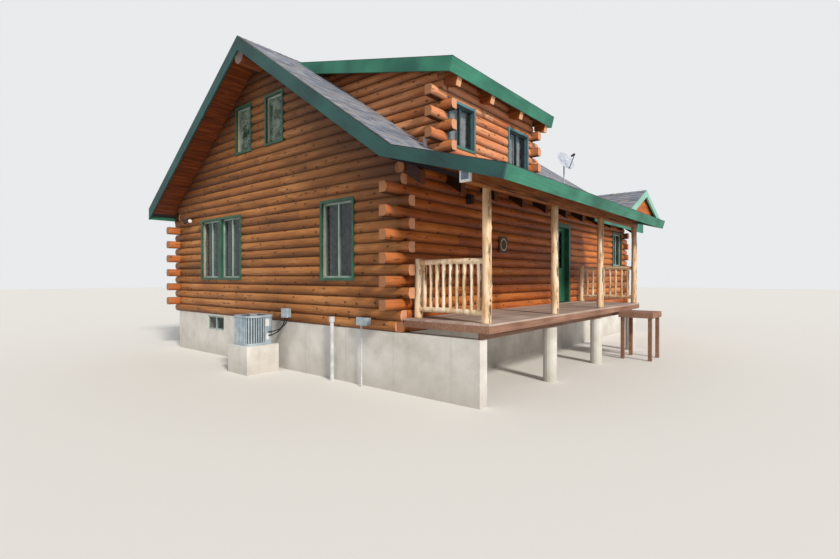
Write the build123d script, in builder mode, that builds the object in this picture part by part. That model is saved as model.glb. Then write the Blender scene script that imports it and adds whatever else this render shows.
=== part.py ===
from build123d import *
import os
from collections import namedtuple
from math import atan, cos, pi, sin, sqrt, tan

os.makedirs("parts", exist_ok=True)

# A log cabin with a steep gable roof, a shed dormer and a covered front porch.
# The near gable wall looks along -X, the front wall looks along -Y. The origin is under
# the near front corner, where the centre lines of both foundation walls cross, at ground level.

# House
house_length = 11600          # along the ridge, between wall centre lines
house_width = 8070            # across the ridge, between wall centre lines
foundation_height = 1000
wall_half = 100               # wall centre line to the grooves and to the concrete face

# Logs
course = 190                  # height of one log
log_bulge = 40                # rounded face beyond the grooves
log_inner = 20                # wall centre line to the flat inner face
log_crown = wall_half + log_bulge
log_facets = 4                # flats that make up the rounded face
wall_courses = 15             # courses up to the eaves
house_ends = (1, 13)          # lowest and highest course with a log end outside
porch_ends = (3, 13)          # the same at the corner over the deck
# log ends beyond the crossing wall's grooves, at the left and right of each wall
front_stubs = (420, 300)
back_stubs = (330, 330)
gable_stubs = (180, 180)
dormer_front_stubs = (390, 260)
dormer_side_stub = 220

# Main roof
main_slope = 0.697            # rise over run
ridge_top = 7017
roof_build = 180              # boards, insulation and shingles, square to the slope
eave_overhang = 600           # wall centre line to the fascia's face
gable_overhang = 700          # wall centre line to the rake board's face
trim = 38                     # thickness of rake and eave boards
rake_depth = 235
eave_depth = 281
ridge_log = 320
beam_end = -520               # near end of the porch beam

# Porch roof
kick_out = 374                # wall centre line to the change of slope
porch_slope = 0.293
porch_build = 120
porch_reach = 2388            # wall centre line to the porch fascia's face
porch_end = 7450              # far end of the porch roof
porch_fascia_depth = 192

# Dormer
dormer_left = 1130            # centre lines of the dormer's side walls
dormer_right = 4480
dormer_ends = (18, 23)        # courses with a log end outside
dormer_slope = 0.2586
dormer_roof_left = 730
dormer_roof_right = 4880
dormer_reach = 530            # wall centre line to the dormer fascia's face
dormer_eave_top = 5757
dormer_build = 150
dormer_fascia_depth = 250

# Rafters
rafter_width = 140
rafter_depth = 190
rafter_pitch = 1160
rafter_tail = 460             # wall centre line to the plumb cut
dormer_rafter_places = (1100, 2265, 3458, 4685)
dormer_rafter_depth = 250
dormer_rafter_tail = 450      # wall centre line to the top of the square cut

# Entry gable on the porch roof
entry_centre = 5755
entry_half = 1200
entry_slope = 0.464
entry_build = 90
entry_rake_depth = 130
infill_inset = 90
infill_thick = 40

# Porch
post_places = (10, 2360, 4770, 7340)
post_line = 1668              # wall centre line to the posts
post_radius = 70
beam_depth = 185
beam_width = 140
deck_top = 1245
deck_reach = 1776
deck_end = 7430
board_thick = 28
rim_depth = 112
joist_pitch = 600
pier_radius = 125
newel_place = 136             # wall centre line to the near newel, along the porch
newel_radius = 72
newel_setback = 265           # wall centre line to the newel
newel_height = 985
rail_radius = 48
top_rail_height = 920
bottom_rail_height = 150
baluster_radius = 32
baluster_lean = 14
rail_bow = 7

# Entry step
step_left = 5700
step_width = 800
step_front = 2530
step_top = 1110
step_depth = 130

# Floors
floor_top = 1250
floor_board = 25
floor_joist = 38
loft_top = 3780
loft_board = 40
loft_joist_width = 90
loft_joist_depth = 180

# Openings
casing = 52
door_casing = 78
mullion = 130                 # between the two units of a double window
casing_proud = 10             # casing beyond the log crowns
sash_out = 85                 # wall centre line to the sash's outer face
sash_thick = 60
sash_bar = 35
glass_thick = 6
fit_gap = 1
door_left = 5757
door_width = 990
door_head = 3290
jamb = 32
threshold = 12
door_thick = 45
hinge_gap = 5
lock_gap = 8
sill_gap = 8
hinge_pin = 5
hinge_wall = 3
pin_clearance = 0.3
hinge_leaf = 40
hinge_height = 100

# Door knobs
knob_inset = 65               # leaf's edge to the knob
knob_height = 900
rose_radius = 31
rose_thick = 7
neck_radius = 11
knob_radius = 26
knob_start = 34
knob_reach = 68
knob_bevel = 8

# Condenser
condenser_size = 615
condenser_height = 596
condenser_base = 560
condenser_place = (-650, 3500)
condenser_corner = 130
condenser_cap = 45
condenser_step = 15
fan_radius = 250
fan_sides = 24
footing_edge = 50

# Boxes, pipes and lights on the walls
disconnect = (3025, 1190, 190, 180)   # y, z, width and height
meter = (720, 1152, 260, 130)
box_depth = 100
vent_pipe_y = 1570
vent_pipe_top = 1190
vent_pipe_radius = 38
vent_head_radius = 55
conduit_radius = 16
conduit_inset = 60
line_radius = 14
line_plugs = ((-50, 0.42), (45, 0.3))  # along the box, and share of the condenser's height
line_bends = 6
flood_place = (7400, 3430)            # y, z
flood_plate = 60
flood_reach = 35
lamp_spread = 30
lamp_radii = (22, 40, 58)
lamp_length = 150
round_sides = 12                      # flats around pipes, lamps and knobs
square_light_z = 3322                 # its middle, on the porch beam's end
square_light_size = (180, 174, 40)
lantern_place = (1790, 3440)          # x, z
lantern_size = (130, 190, 110)
plaque_place = (3126, 2628)
plaque_size = 345
plaque_thick = 18
plaque_ring = (140, 104)              # outer and inner radius

# Dish and vent on the roof
dish_place = (7900, 500)
mast_height = 850
mast_radius = 22
dish_radius = 320
dish_sides = 20
dish_depth = 80
dish_thick = 14
dish_hub = 70
roof_vent_place = (835, 170)
roof_vent_height = 170
roof_vent_radius = 40
roof_vent_bore = 34


def sloped(depth, slope):
    """Height of a layer that is `depth` thick square to its slope."""
    return depth / cos(atan(slope))


def main_top(y):
    """Top of the main roof at y, on either side of the ridge."""
    return ridge_top - main_slope * abs(y - ridge_y)


def porch_top(y):
    return main_top(-kick_out) - porch_slope * (-kick_out - y)


def porch_under(y):
    return porch_top(y) - porch_drop


def dormer_top(y):
    return dormer_eave_top + dormer_slope * (y + dormer_reach)


def dormer_under(y):
    return dormer_top(y) - dormer_drop


def square_cut(top, slope, y, depth):
    """The point `depth` below a roof's surface at y, square to its slope."""
    lean = atan(slope)
    return (y + depth * sin(lean), top(y) - depth * cos(lean))


ridge_y = house_width / 2
main_drop = sloped(roof_build, main_slope)
porch_drop = sloped(porch_build, porch_slope)
dormer_drop = sloped(dormer_build, dormer_slope)
entry_drop = sloped(entry_build, entry_slope)
rafter_drop = sloped(rafter_depth, main_slope)
dormer_rafter_drop = sloped(dormer_rafter_depth, dormer_slope)
near_end = -gable_overhang
far_end = house_length + gable_overhang
back_eave = house_width + eave_overhang
wall_top = foundation_height + wall_courses * course
# where the dormer roof runs out on the main roof: its top and its underside
main_at_wall = main_top(0)
dormer_at_wall = dormer_top(0)
dormer_back = (dormer_at_wall - main_at_wall) / (main_slope - dormer_slope)
dormer_seat = dormer_back - dormer_drop / (main_slope - dormer_slope)
entry_peak = porch_top(-porch_reach) + entry_slope * entry_half
entry_back = -kick_out - (main_top(-kick_out) - entry_peak) / porch_slope
far_y = 12000                 # beyond the whole house, for cutting shapes

# Each wall's face plane: origin at its left corner seen from outside, on the foundation,
# X to the right, Y up, Z outward, with its own zero on the wall's centre line.
near_face = Plane((0, house_width, foundation_height), x_dir=(0, -1, 0), z_dir=(-1, 0, 0))
front_face = Plane((0, 0, foundation_height), x_dir=(1, 0, 0), z_dir=(0, -1, 0))
far_face = Plane((house_length, 0, foundation_height), x_dir=(0, 1, 0), z_dir=(1, 0, 0))
back_face = Plane(
    (house_length, house_width, foundation_height), x_dir=(-1, 0, 0), z_dir=(0, 1, 0)
)
dormer_left_face = Plane(
    (dormer_left, dormer_back, foundation_height), x_dir=(0, -1, 0), z_dir=(-1, 0, 0)
)
dormer_right_face = Plane((dormer_right, 0, foundation_height), x_dir=(0, 1, 0), z_dir=(1, 0, 0))

# A window by its wall, the distance of its middle from the wall's left corner, its sill and
# head above the foundation, and its units side by side, each with its width and its panes.
Window = namedtuple("Window", "face middle sill head units width panes")

main_sill = 914
main_head = 2330
main_width = 850
loft_sill = 3832
loft_head = 4823
loft_width = 575
near_main_windows = (
    Window(near_face, 2220, main_sill, main_head, 2, main_width, 2),
    Window(near_face, 6563, main_sill, main_head, 1, main_width, 2),
)
near_loft_windows = (
    Window(near_face, 3294, loft_sill, loft_head, 1, loft_width, 1),
    Window(near_face, 4525, loft_sill, loft_head, 1, loft_width, 1),
)


def mirrored(windows):
    """The near gable's windows as the far gable has them."""
    return tuple(w._replace(face=far_face, middle=house_width - w.middle) for w in windows)


far_main_windows = mirrored(near_main_windows)
far_loft_windows = mirrored(near_loft_windows)
back_windows = tuple(
    Window(back_face, house_length * share, main_sill, main_head, 1, main_width, 2)
    for share in (1 / 5, 1 / 2, 4 / 5)
)
front_windows = (Window(front_face, 10878, 1314, 2383, 1, 890, 2),)
dormer_windows = (
    Window(front_face, 1592, 3423, 4207, 1, 803, 2),
    Window(front_face, 3840, 3423, 4207, 1, 846, 2),
)
basement_window = Window(near_face, house_width - 6150, -385, -45, 1, 800, 2)
house_windows = (
    near_main_windows
    + near_loft_windows
    + far_main_windows
    + far_loft_windows
    + back_windows
    + front_windows
    + dormer_windows
)


def finish(piece, name):
    """Label a finished piece and write it out."""
    piece.part.label = name
    export_step(piece.part, f"parts/{name}.step")


def log_section(face, right):
    """Plane across a wall at `right`: X outward, Y up, Z towards the wall's left end."""
    return Plane(face.from_local_coords((right, 0, 0)), x_dir=face.z_dir, z_dir=-face.x_dir)


def log_face(base, count):
    """Points up the rounded faces of `count` logs that lie on each other from `base`."""
    radius = (log_bulge**2 + (course / 2) ** 2) / (2 * log_bulge)
    points = []
    for n in range(count * log_facets + 1):
        from_middle = course * ((n % log_facets) / log_facets - 1 / 2)
        swell = sqrt(radius**2 - from_middle**2) - radius
        points.append((log_crown + swell, base + course * n / log_facets))
    return points


def log_run(face, first, count, left, right):
    """Courses first .. first + count - 1 of a wall as one piece, rounded face outward."""
    base = (first - 1) * course
    with BuildPart() as run:
        with BuildSketch(log_section(face, right)):
            with BuildLine():
                Polyline(
                    (-log_inner, base),
                    *log_face(base, count),
                    (-log_inner, base + count * course),
                    close=True,
                )
            make_face()
        extrude(amount=right - left)
    return run.part


def log_wall(face, length, courses, left_ends, right_ends, stubs):
    """A wall whose odd courses run past its left corner and even ones past its right.

    The courses within left_ends or right_ends also show a log end of stubs' length outside."""
    first, last = courses
    with BuildPart() as wall:
        add(log_run(face, first, last - first + 1, log_inner, length - log_inner))
        for n in range(first, last + 1):
            low, high = left_ends if n % 2 else right_ends
            stub = stubs[0] if n % 2 else stubs[1]
            reach = wall_half + (stub if low <= n <= high else 0)
            if n % 2:
                add(log_run(face, n, 1, -reach, log_inner))
            else:
                add(log_run(face, n, 1, length - log_inner, length + reach))
    return wall.part


def window_width(w):
    """Width of the whole opening, over all units."""
    return w.units * w.width + (w.units - 1) * mullion


def window_voids(windows):
    """What the windows take out of a wall: the opening and the casing's flat seat."""
    with BuildPart() as voids:
        for w in windows:
            place = Location((w.middle, (w.sill + w.head) / 2))
            with BuildSketch(w.face.offset(-2 * log_inner)):
                with Locations(place):
                    Rectangle(window_width(w), w.head - w.sill)
            extrude(amount=4 * wall_half)
            with BuildSketch(w.face.offset(wall_half)):
                with Locations(place):
                    edge = 2 * (casing + fit_gap)
                    Rectangle(window_width(w) + edge, w.head - w.sill + edge)
            extrude(amount=2 * log_bulge)
    return voids.part


def above_roof():
    """Everything above the underside of the main roof boards."""
    with BuildPart() as sky:
        with BuildSketch(Plane.YZ.offset(near_end)):
            with BuildLine():
                Polyline(
                    (-far_y, main_top(-far_y) - main_drop),
                    (ridge_y, ridge_top - main_drop),
                    (house_width + far_y, main_top(house_width + far_y) - main_drop),
                    (ridge_y, 2 * far_y),
                    close=True,
                )
            make_face()
        extrude(amount=far_end - near_end)
    return sky.part


def below_slope(top, y_low, y_high, x_low, x_high):
    """Everything under a sloped plane from y_low to y_high."""
    with BuildPart() as ground:
        with BuildSketch(Plane.YZ.offset(x_low)):
            with BuildLine():
                Polyline(
                    (y_low, top(y_low)), (y_high, top(y_high)), (y_high, 0), (y_low, 0), close=True
                )
            make_face()
        extrude(amount=x_high - x_low)
    return ground.part


def box_between(low, high):
    """A plain block between two corners, for cutting and notching."""
    with BuildPart() as block:
        with BuildSketch(Plane.XY.offset(low[2])):
            with Locations(((low[0] + high[0]) / 2, (low[1] + high[1]) / 2)):
                Rectangle(high[0] - low[0], high[1] - low[1])
        extrude(amount=high[2] - low[2])
    return block.part


def peeled_log(places, sides=10):
    """A hand-peeled pole through (x, y, z, radius) places, along the longer of Y and Z."""
    first, last = places[0], places[-1]
    upright = abs(last[2] - first[2]) > abs(last[1] - first[1])
    with BuildPart() as pole:
        for x, y, z, radius in places:
            if upright:
                with BuildSketch(Plane((x, y, z))):
                    RegularPolygon(radius, sides)
            else:
                with BuildSketch(Plane((x, y, z), x_dir=(1, 0, 0), z_dir=(0, 1, 0))):
                    RegularPolygon(radius, sides)
        loft(ruled=True)
    return pole.part


# Foundation: a concrete ring with a basement window, and a low wall under the porch's end
with BuildPart() as foundation:
    with BuildSketch():
        with Locations((house_length / 2, house_width / 2)):
            Rectangle(house_length + 2 * wall_half, house_width + 2 * wall_half)
            Rectangle(
                house_length - 2 * wall_half, house_width - 2 * wall_half, mode=Mode.SUBTRACT
            )
        wing_end = -post_line + wall_half / 2
        with Locations((0, (wing_end - wall_half) / 2)):
            Rectangle(2 * wall_half, -wing_end - wall_half)
    extrude(amount=foundation_height)
    with BuildSketch(near_face.offset(-2 * wall_half)):
        with Locations((basement_window.middle, (basement_window.sill + basement_window.head) / 2)):
            Rectangle(basement_window.width, basement_window.head - basement_window.sill)
    extrude(amount=4 * wall_half, mode=Mode.SUBTRACT)
finish(foundation, "foundation")

# Main floor: boards on joists that bear on the foundation's inner ledge
with BuildPart() as floor:
    edge = log_inner + fit_gap
    with BuildSketch(Plane.XY.offset(floor_top - floor_board)):
        with Locations((house_length / 2, house_width / 2)):
            Rectangle(house_length - 2 * edge, house_width - 2 * edge)
    extrude(amount=floor_board)
    joists = int((house_length - 2 * edge) / joist_pitch)
    with BuildSketch(Plane.XY.offset(foundation_height)):
        with Locations((house_length / 2, house_width / 2)):
            with GridLocations(joist_pitch, 1, joists, 1):
                Rectangle(floor_joist, house_width - 2 * edge)
    extrude(amount=floor_top - floor_board - foundation_height)
finish(floor, "main_floor")

# Loft floor: boards on joists hung between the front and back walls
with BuildPart() as loft_floor:
    with BuildSketch(Plane.XY.offset(loft_top - loft_board)):
        with Locations((house_length / 2, house_width / 2)):
            Rectangle(house_length - 2 * edge, house_width - 2 * wall_half)
    extrude(amount=loft_board)
    with BuildSketch(Plane.XY.offset(loft_top - loft_board - loft_joist_depth)):
        with Locations((house_length / 2, house_width / 2)):
            with GridLocations(2 * joist_pitch, 1, joists // 2, 1):
                Rectangle(loft_joist_width, house_width - 2 * log_inner)
    extrude(amount=loft_joist_depth)
finish(loft_floor, "loft_floor")

# Ridge log: round below, squared and bevelled above to carry both roof slopes
ridge_side = ridge_log / 2
ridge_underside = ridge_top - main_drop
with BuildPart() as ridge_beam:
    with BuildSketch(Plane.YZ.offset(near_end + trim)):
        with BuildLine():
            shoulder = ridge_underside - main_slope * ridge_side
            belly = shoulder - ridge_side / 2
            Polyline(
                (ridge_y - ridge_side, belly),
                (ridge_y - ridge_side, shoulder),
                (ridge_y, ridge_underside),
                (ridge_y + ridge_side, shoulder),
                (ridge_y + ridge_side, belly),
            )
            ThreePointArc(
                (ridge_y + ridge_side, belly),
                (ridge_y, belly - ridge_side),
                (ridge_y - ridge_side, belly),
            )
        make_face()
    extrude(amount=far_end - near_end - 2 * trim)
finish(ridge_beam, "ridge_log")

# Main rafters: eleven a side, cut short at the gable walls and inside the dormer
with BuildPart() as main_rafters:
    for n in range(round(house_length / rafter_pitch) + 1):
        x = n * rafter_pitch
        over_gable = x < wall_half or x > house_length - wall_half
        in_dormer = dormer_left + log_crown < x < dormer_right - log_crown
        for side in (-1, 1):
            low = ridge_y + side * (ridge_y + rafter_tail)
            high = ridge_y + side * ridge_side
            if over_gable:
                high = ridge_y + side * (ridge_y + log_crown)
            elif in_dormer and side < 0:
                high = rafter_tail
            with BuildSketch(Plane.YZ.offset(x - rafter_width / 2)):
                with BuildLine():
                    Polyline(
                        (low, main_top(low) - main_drop),
                        (high, main_top(high) - main_drop),
                        (high, main_top(high) - main_drop - rafter_drop),
                        (low, main_top(low) - main_drop - rafter_drop),
                        close=True,
                    )
                make_face()
            extrude(amount=rafter_width)
finish(main_rafters, "main_rafters")

# Near and far gable walls: logs up to the roof boards, notched for the ridge log. The near
# one's upper part is in three: under, beside and over the loft windows.
deep = 3 * wall_half          # beyond a wall's faces, for cutting it
gable_courses = int((ridge_underside - foundation_height) / course) + 1
sky = above_roof()


def gable_wall(face, windows, left_ends, right_ends):
    """The courses of a gable wall up to the eaves."""
    logs = log_wall(face, house_width, (1, wall_courses), left_ends, right_ends, gable_stubs)
    voids = window_voids(windows)
    with BuildPart() as wall:
        add(logs)
        add(voids, mode=Mode.SUBTRACT)
    return wall


def gable_top(face, windows):
    """The courses of a gable wall above the eaves."""
    logs = log_run(
        face,
        wall_courses + 1,
        gable_courses - wall_courses,
        -wall_half,
        house_width + wall_half,
    )
    voids = window_voids(windows)
    with BuildPart() as top:
        add(logs)
        add(sky, mode=Mode.SUBTRACT)
        add(voids, mode=Mode.SUBTRACT)
        add(ridge_beam.part, mode=Mode.SUBTRACT)
    return top


finish(gable_wall(near_face, near_main_windows, house_ends, porch_ends), "near_gable_wall")
finish(gable_wall(far_face, far_main_windows, house_ends, house_ends), "far_gable_wall")
near_top = gable_top(near_face, near_loft_windows)
near_bands = {
    "near_gable_sill_logs": (wall_top, foundation_height + loft_sill),
    "near_gable_jambs": (foundation_height + loft_sill, foundation_height + loft_head),
    "near_gable_peak": (foundation_height + loft_head, ridge_top),
}
for name, (z_low, z_high) in near_bands.items():
    keep = box_between((-deep, -deep, z_low), (deep, house_width + deep, z_high))
    with BuildPart() as band:
        add(near_top.part)
        add(keep, mode=Mode.INTERSECT)
    finish(band, name)
finish(gable_top(far_face, far_loft_windows), "far_gable_top")

# Long walls: fifteen courses and a bevelled top log under the roof boards
rafter_room = main_rafters.part


def long_wall(face, windows, left_ends, stubs, top_spans):
    """A long wall with a top log over each of top_spans."""
    logs = log_wall(face, house_length, (1, wall_courses), left_ends, house_ends, stubs)
    tops = [log_run(face, wall_courses + 1, 1, left, right) for left, right in top_spans]
    voids = window_voids(windows)
    with BuildPart() as wall:
        add(logs)
        add(tops)
        add(sky, mode=Mode.SUBTRACT)
        add(rafter_room, mode=Mode.SUBTRACT)
        add(voids, mode=Mode.SUBTRACT)
    return wall


back_wall = long_wall(
    back_face, back_windows, house_ends, back_stubs, ((log_inner, house_length - log_inner),)
)
finish(back_wall, "back_wall")

front_logs = long_wall(
    front_face,
    front_windows,
    porch_ends,
    front_stubs,
    (
        (log_inner, dormer_left - wall_half),
        (dormer_right + wall_half, house_length - log_inner),
    ),
)
door_right = door_left + door_width
front_window = front_windows[0]
window_left = front_window.middle - front_window.width / 2
window_foot = foundation_height + front_window.sill
window_top = foundation_height + front_window.head
front_parts = {
    "front_wall_left": ((near_end, 0), (door_left, 2 * far_y)),
    "front_wall_over_door": ((door_left, door_head), (door_right, 2 * far_y)),
    "front_wall_right": ((door_right, 0), (window_left, 2 * far_y)),
    "front_wall_under_window": ((window_left, 0), (far_end, window_foot)),
    "front_wall_beside_window": ((window_left, window_foot), (far_end, window_top)),
    "front_wall_over_window": ((window_left, window_top), (far_end, 2 * far_y)),
}
door_seat_edge = door_casing + fit_gap
door_seat = box_between(
    (door_left - door_seat_edge, -deep, floor_top),
    (door_right + door_seat_edge, -wall_half, door_head + door_seat_edge),
)
for name, ((x_low, z_low), (x_high, z_high)) in front_parts.items():
    keep = box_between((x_low, -deep, z_low), (x_high, deep, z_high))
    with BuildPart() as front_wall:
        add(front_logs.part)
        add(keep, mode=Mode.INTERSECT)
        add(door_seat, mode=Mode.SUBTRACT)
    finish(front_wall, name)

# Dormer rafters: two across the room, and a short tail in front of each side wall
roof_ground = below_slope(main_top, -2 * eave_overhang, ridge_y, near_end, far_end)
dormer_span = dormer_right - dormer_left
dormer_middle = (dormer_left + dormer_right) / 2
dormer_tail_top = (-dormer_rafter_tail, dormer_under(-dormer_rafter_tail))
dormer_tail_foot = square_cut(
    dormer_under, dormer_slope, -dormer_rafter_tail, dormer_rafter_depth
)
with BuildPart() as dormer_rafters:
    for x in dormer_rafter_places:
        in_room = dormer_left + log_crown < x < dormer_right - log_crown
        high = dormer_seat if in_room else -log_crown
        with BuildSketch(Plane.YZ.offset(x - rafter_width / 2)):
            with BuildLine():
                Polyline(
                    dormer_tail_top,
                    (high, dormer_under(high)),
                    (high, dormer_under(high) - dormer_rafter_drop),
                    dormer_tail_foot,
                    close=True,
                )
            make_face()
        extrude(amount=rafter_width)
    add(roof_ground, mode=Mode.SUBTRACT)
finish(dormer_rafters, "dormer_rafters")

# Dormer front wall: it carries on up from the front wall through the roof
dormer_first = wall_courses + 1
dormer_last = wall_courses + int((dormer_top(log_inner) - wall_top) / course) + 1
front_dormer_face = Plane(
    (dormer_left, 0, foundation_height), x_dir=front_face.x_dir, z_dir=front_face.z_dir
)
dormer_logs = log_wall(
    front_dormer_face,
    dormer_span,
    (dormer_first, dormer_last),
    dormer_ends,
    dormer_ends,
    dormer_front_stubs,
)
dormer_room = below_slope(dormer_under, -dormer_reach, ridge_y, near_end, far_end)
dormer_voids = window_voids(dormer_windows)
beside_dormer = [
    below_slope(main_top, -dormer_reach, deep, near_end, dormer_left - wall_half),
    below_slope(main_top, -dormer_reach, deep, dormer_right + wall_half, far_end),
]
with BuildPart() as dormer_front_wall:
    add(dormer_logs)
    add(dormer_room, mode=Mode.INTERSECT)
    add(beside_dormer, mode=Mode.SUBTRACT)
    add(dormer_rafters.part, mode=Mode.SUBTRACT)
    add(rafter_room, mode=Mode.SUBTRACT)
    add(dormer_voids, mode=Mode.SUBTRACT)
finish(dormer_front_wall, "dormer_front_wall")


# Dormer side walls: from the front corners back to where the roofs meet
def dormer_side(face, front_on_right):
    """One log side wall; its even courses pass the front corner if that is on its right."""
    left, right = (0, dormer_back - log_inner) if front_on_right else (log_inner, dormer_back)
    low, high = dormer_ends
    back_courses = int(dormer_slope * dormer_back / course) + 1
    with BuildPart() as side:
        add(log_run(face, dormer_first, dormer_last - dormer_first + 1 + back_courses, left, right))
        for n in range(dormer_first, dormer_last + 1):
            reach = wall_half + (dormer_side_stub if low <= n <= high else 0)
            if front_on_right and n % 2 == 0:
                add(log_run(face, n, 1, right, dormer_back + reach))
            if not front_on_right and n % 2:
                add(log_run(face, n, 1, -reach, left))
    return side.part


dormer_sides = [
    dormer_side(dormer_left_face, True),
    dormer_side(dormer_right_face, False),
]
# the flat seats that the window casings take in the passing logs
casing_face = log_crown + casing_proud + fit_gap
seat_edge = casing + fit_gap
dormer_casing_seats = [
    box_between(
        (
            w.middle - w.width / 2 - seat_edge,
            -casing_face,
            foundation_height + w.sill - seat_edge,
        ),
        (
            w.middle + w.width / 2 + seat_edge,
            -wall_half,
            foundation_height + w.head + seat_edge,
        ),
    )
    for w in dormer_windows
]
with BuildPart() as dormer_side_walls:
    add(dormer_sides)
    add(dormer_room, mode=Mode.INTERSECT)
    add(roof_ground, mode=Mode.SUBTRACT)
    add(dormer_front_wall.part, mode=Mode.SUBTRACT)
    add(dormer_rafters.part, mode=Mode.SUBTRACT)
    add(dormer_casing_seats, mode=Mode.SUBTRACT)
finish(dormer_side_walls, "dormer_side_walls")

# Main roof: two slopes, the front one shorter over the porch and open under the dormer
roof_near = near_end + trim
roof_far = far_end - trim
roof_eave = -eave_overhang + trim
with BuildPart() as front_roof:
    for x_low, x_high, y_low in (
        (roof_near, porch_end, -kick_out),
        (porch_end, roof_far, roof_eave),
    ):
        with BuildSketch(Plane.YZ.offset(x_low)):
            with BuildLine():
                Polyline(
                    (ridge_y, ridge_top),
                    (y_low, main_top(y_low)),
                    (y_low, main_top(y_low) - main_drop),
                    (ridge_y, ridge_top - main_drop),
                    close=True,
                )
            make_face()
        extrude(amount=x_high - x_low)
    with BuildSketch():
        wall_y = (log_inner - log_crown - fit_gap) / 2
        with Locations((dormer_middle, wall_y)):
            Rectangle(dormer_span + 2 * wall_half + fit_gap, log_inner + log_crown + fit_gap)
        with Locations((dormer_middle, (dormer_seat + log_inner) / 2)):
            Rectangle(dormer_span - 2 * log_inner, dormer_seat - log_inner)
    extrude(amount=2 * ridge_top, mode=Mode.SUBTRACT)
finish(front_roof, "main_roof_front")

with BuildPart() as back_roof:
    with BuildSketch(Plane.YZ.offset(roof_near)):
        with BuildLine():
            Polyline(
                (ridge_y, ridge_top),
                (back_eave - trim, main_top(back_eave - trim)),
                (back_eave - trim, main_top(back_eave - trim) - main_drop),
                (ridge_y, ridge_top - main_drop),
                close=True,
            )
        make_face()
    extrude(amount=roof_far - roof_near)
finish(back_roof, "main_roof_back")

# Porch roof: a flatter slope that kicks out from the main one
porch_front = -porch_reach + trim * cos(atan(porch_slope))
with BuildPart() as porch_roof:
    with BuildSketch(Plane.YZ.offset(roof_near)):
        with BuildLine():
            Polyline(
                (-kick_out, porch_top(-kick_out)),
                (porch_front, porch_top(porch_front)),
                square_cut(porch_top, porch_slope, porch_front, porch_build),
                (-kick_out, porch_under(-kick_out)),
                close=True,
            )
        make_face()
    extrude(amount=porch_end - trim - roof_near)
finish(porch_roof, "porch_roof")

# Dormer roof: a shallow slope that runs out on the main roof just below the ridge
dormer_eave = -dormer_reach + trim * cos(atan(dormer_slope))
with BuildPart() as dormer_roof:
    with BuildSketch(Plane.YZ.offset(dormer_roof_left + trim)):
        with BuildLine():
            Polyline(
                (dormer_eave, dormer_top(dormer_eave)),
                (dormer_back, dormer_top(dormer_back)),
                (dormer_seat, dormer_under(dormer_seat)),
                square_cut(dormer_top, dormer_slope, dormer_eave, dormer_build),
                close=True,
            )
        make_face()
    extrude(amount=dormer_roof_right - dormer_roof_left - 2 * trim)
finish(dormer_roof, "dormer_roof")

# Entry gable: a small roof laid over the porch roof in front of the door
porch_ground = below_slope(porch_top, -2 * porch_reach, -kick_out, near_end, far_end)
entry_foot = porch_top(-porch_reach)
entry_front = -porch_reach + trim


def entry_shape(depth, y):
    """Outline of an inverted V `depth` deep, seen from the front, standing at y."""
    with BuildSketch(Plane((0, y, 0), x_dir=(1, 0, 0), z_dir=(0, -1, 0))) as shape:
        with BuildLine():
            Polyline(
                (entry_centre - entry_half, entry_foot),
                (entry_centre, entry_peak),
                (entry_centre + entry_half, entry_foot),
                (entry_centre + entry_half, entry_foot - depth),
                (entry_centre, entry_peak - depth),
                (entry_centre - entry_half, entry_foot - depth),
                close=True,
            )
        make_face()
    return shape.sketch


with BuildPart() as entry_roof:
    add(entry_shape(entry_drop, entry_front))
    extrude(amount=entry_back - entry_front, dir=(0, 1, 0))
    add(porch_ground, mode=Mode.SUBTRACT)
finish(entry_roof, "entry_gable_roof")

with BuildPart() as entry_infill:
    with BuildSketch(
        Plane((0, -porch_reach + infill_inset, 0), x_dir=(1, 0, 0), z_dir=(0, -1, 0))
    ):
        with BuildLine():
            Polyline(
                (entry_centre - entry_half, entry_foot - entry_drop),
                (entry_centre, entry_peak - entry_drop),
                (entry_centre + entry_half, entry_foot - entry_drop),
                close=True,
            )
        make_face()
    extrude(amount=-infill_thick)
    add(porch_ground, mode=Mode.SUBTRACT)
finish(entry_infill, "entry_gable_boards")

with BuildPart() as entry_rake:
    add(entry_shape(sloped(entry_rake_depth, entry_slope), -porch_reach))
    extrude(amount=trim, dir=(0, 1, 0))
    add(porch_ground, mode=Mode.SUBTRACT)
finish(entry_rake, "entry_gable_trim")

# Rake boards: an inverted V at each gable, the near one running on down the porch roof
rake_drop = sloped(rake_depth, main_slope)
porch_rake_drop = sloped(porch_fascia_depth, porch_slope)
# the lower edges of the two slopes cross a little inside the change of slope
lower_kick = -kick_out + (rake_drop - porch_rake_drop) / (main_slope - porch_slope)
fascia_foot = square_cut(porch_top, porch_slope, -porch_reach, porch_fascia_depth)
near_outline = (
    (back_eave, main_top(back_eave)),
    (ridge_y, ridge_top),
    (-kick_out, main_top(-kick_out)),
    (-porch_reach, porch_top(-porch_reach)),
    fascia_foot,
    (lower_kick, main_top(lower_kick) - rake_drop),
    (ridge_y, ridge_top - rake_drop),
    (back_eave, main_top(back_eave) - rake_drop),
)
far_outline = (
    (back_eave, main_top(back_eave)),
    (ridge_y, ridge_top),
    (-eave_overhang, main_top(-eave_overhang)),
    (-eave_overhang, main_top(-eave_overhang) - rake_drop),
    (ridge_y, ridge_top - rake_drop),
    (back_eave, main_top(back_eave) - rake_drop),
)
with BuildPart() as rake_boards:
    for x, outline in ((near_end, near_outline), (roof_far, far_outline)):
        with BuildSketch(Plane.YZ.offset(x)):
            with BuildLine():
                Polyline(*outline, close=True)
            make_face()
        extrude(amount=trim)
finish(rake_boards, "rake_boards")

# Eave boards: along the back, and along the front beyond the porch
with BuildPart() as eave_boards:
    for x, y in ((roof_near, back_eave - trim), (porch_end, -eave_overhang)):
        with BuildSketch(Plane.XY.offset(main_top(back_eave) - eave_depth)):
            with Locations(((x + roof_far) / 2, y + trim / 2)):
                Rectangle(roof_far - x, trim)
        extrude(amount=eave_depth)
finish(eave_boards, "eave_boards")

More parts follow.
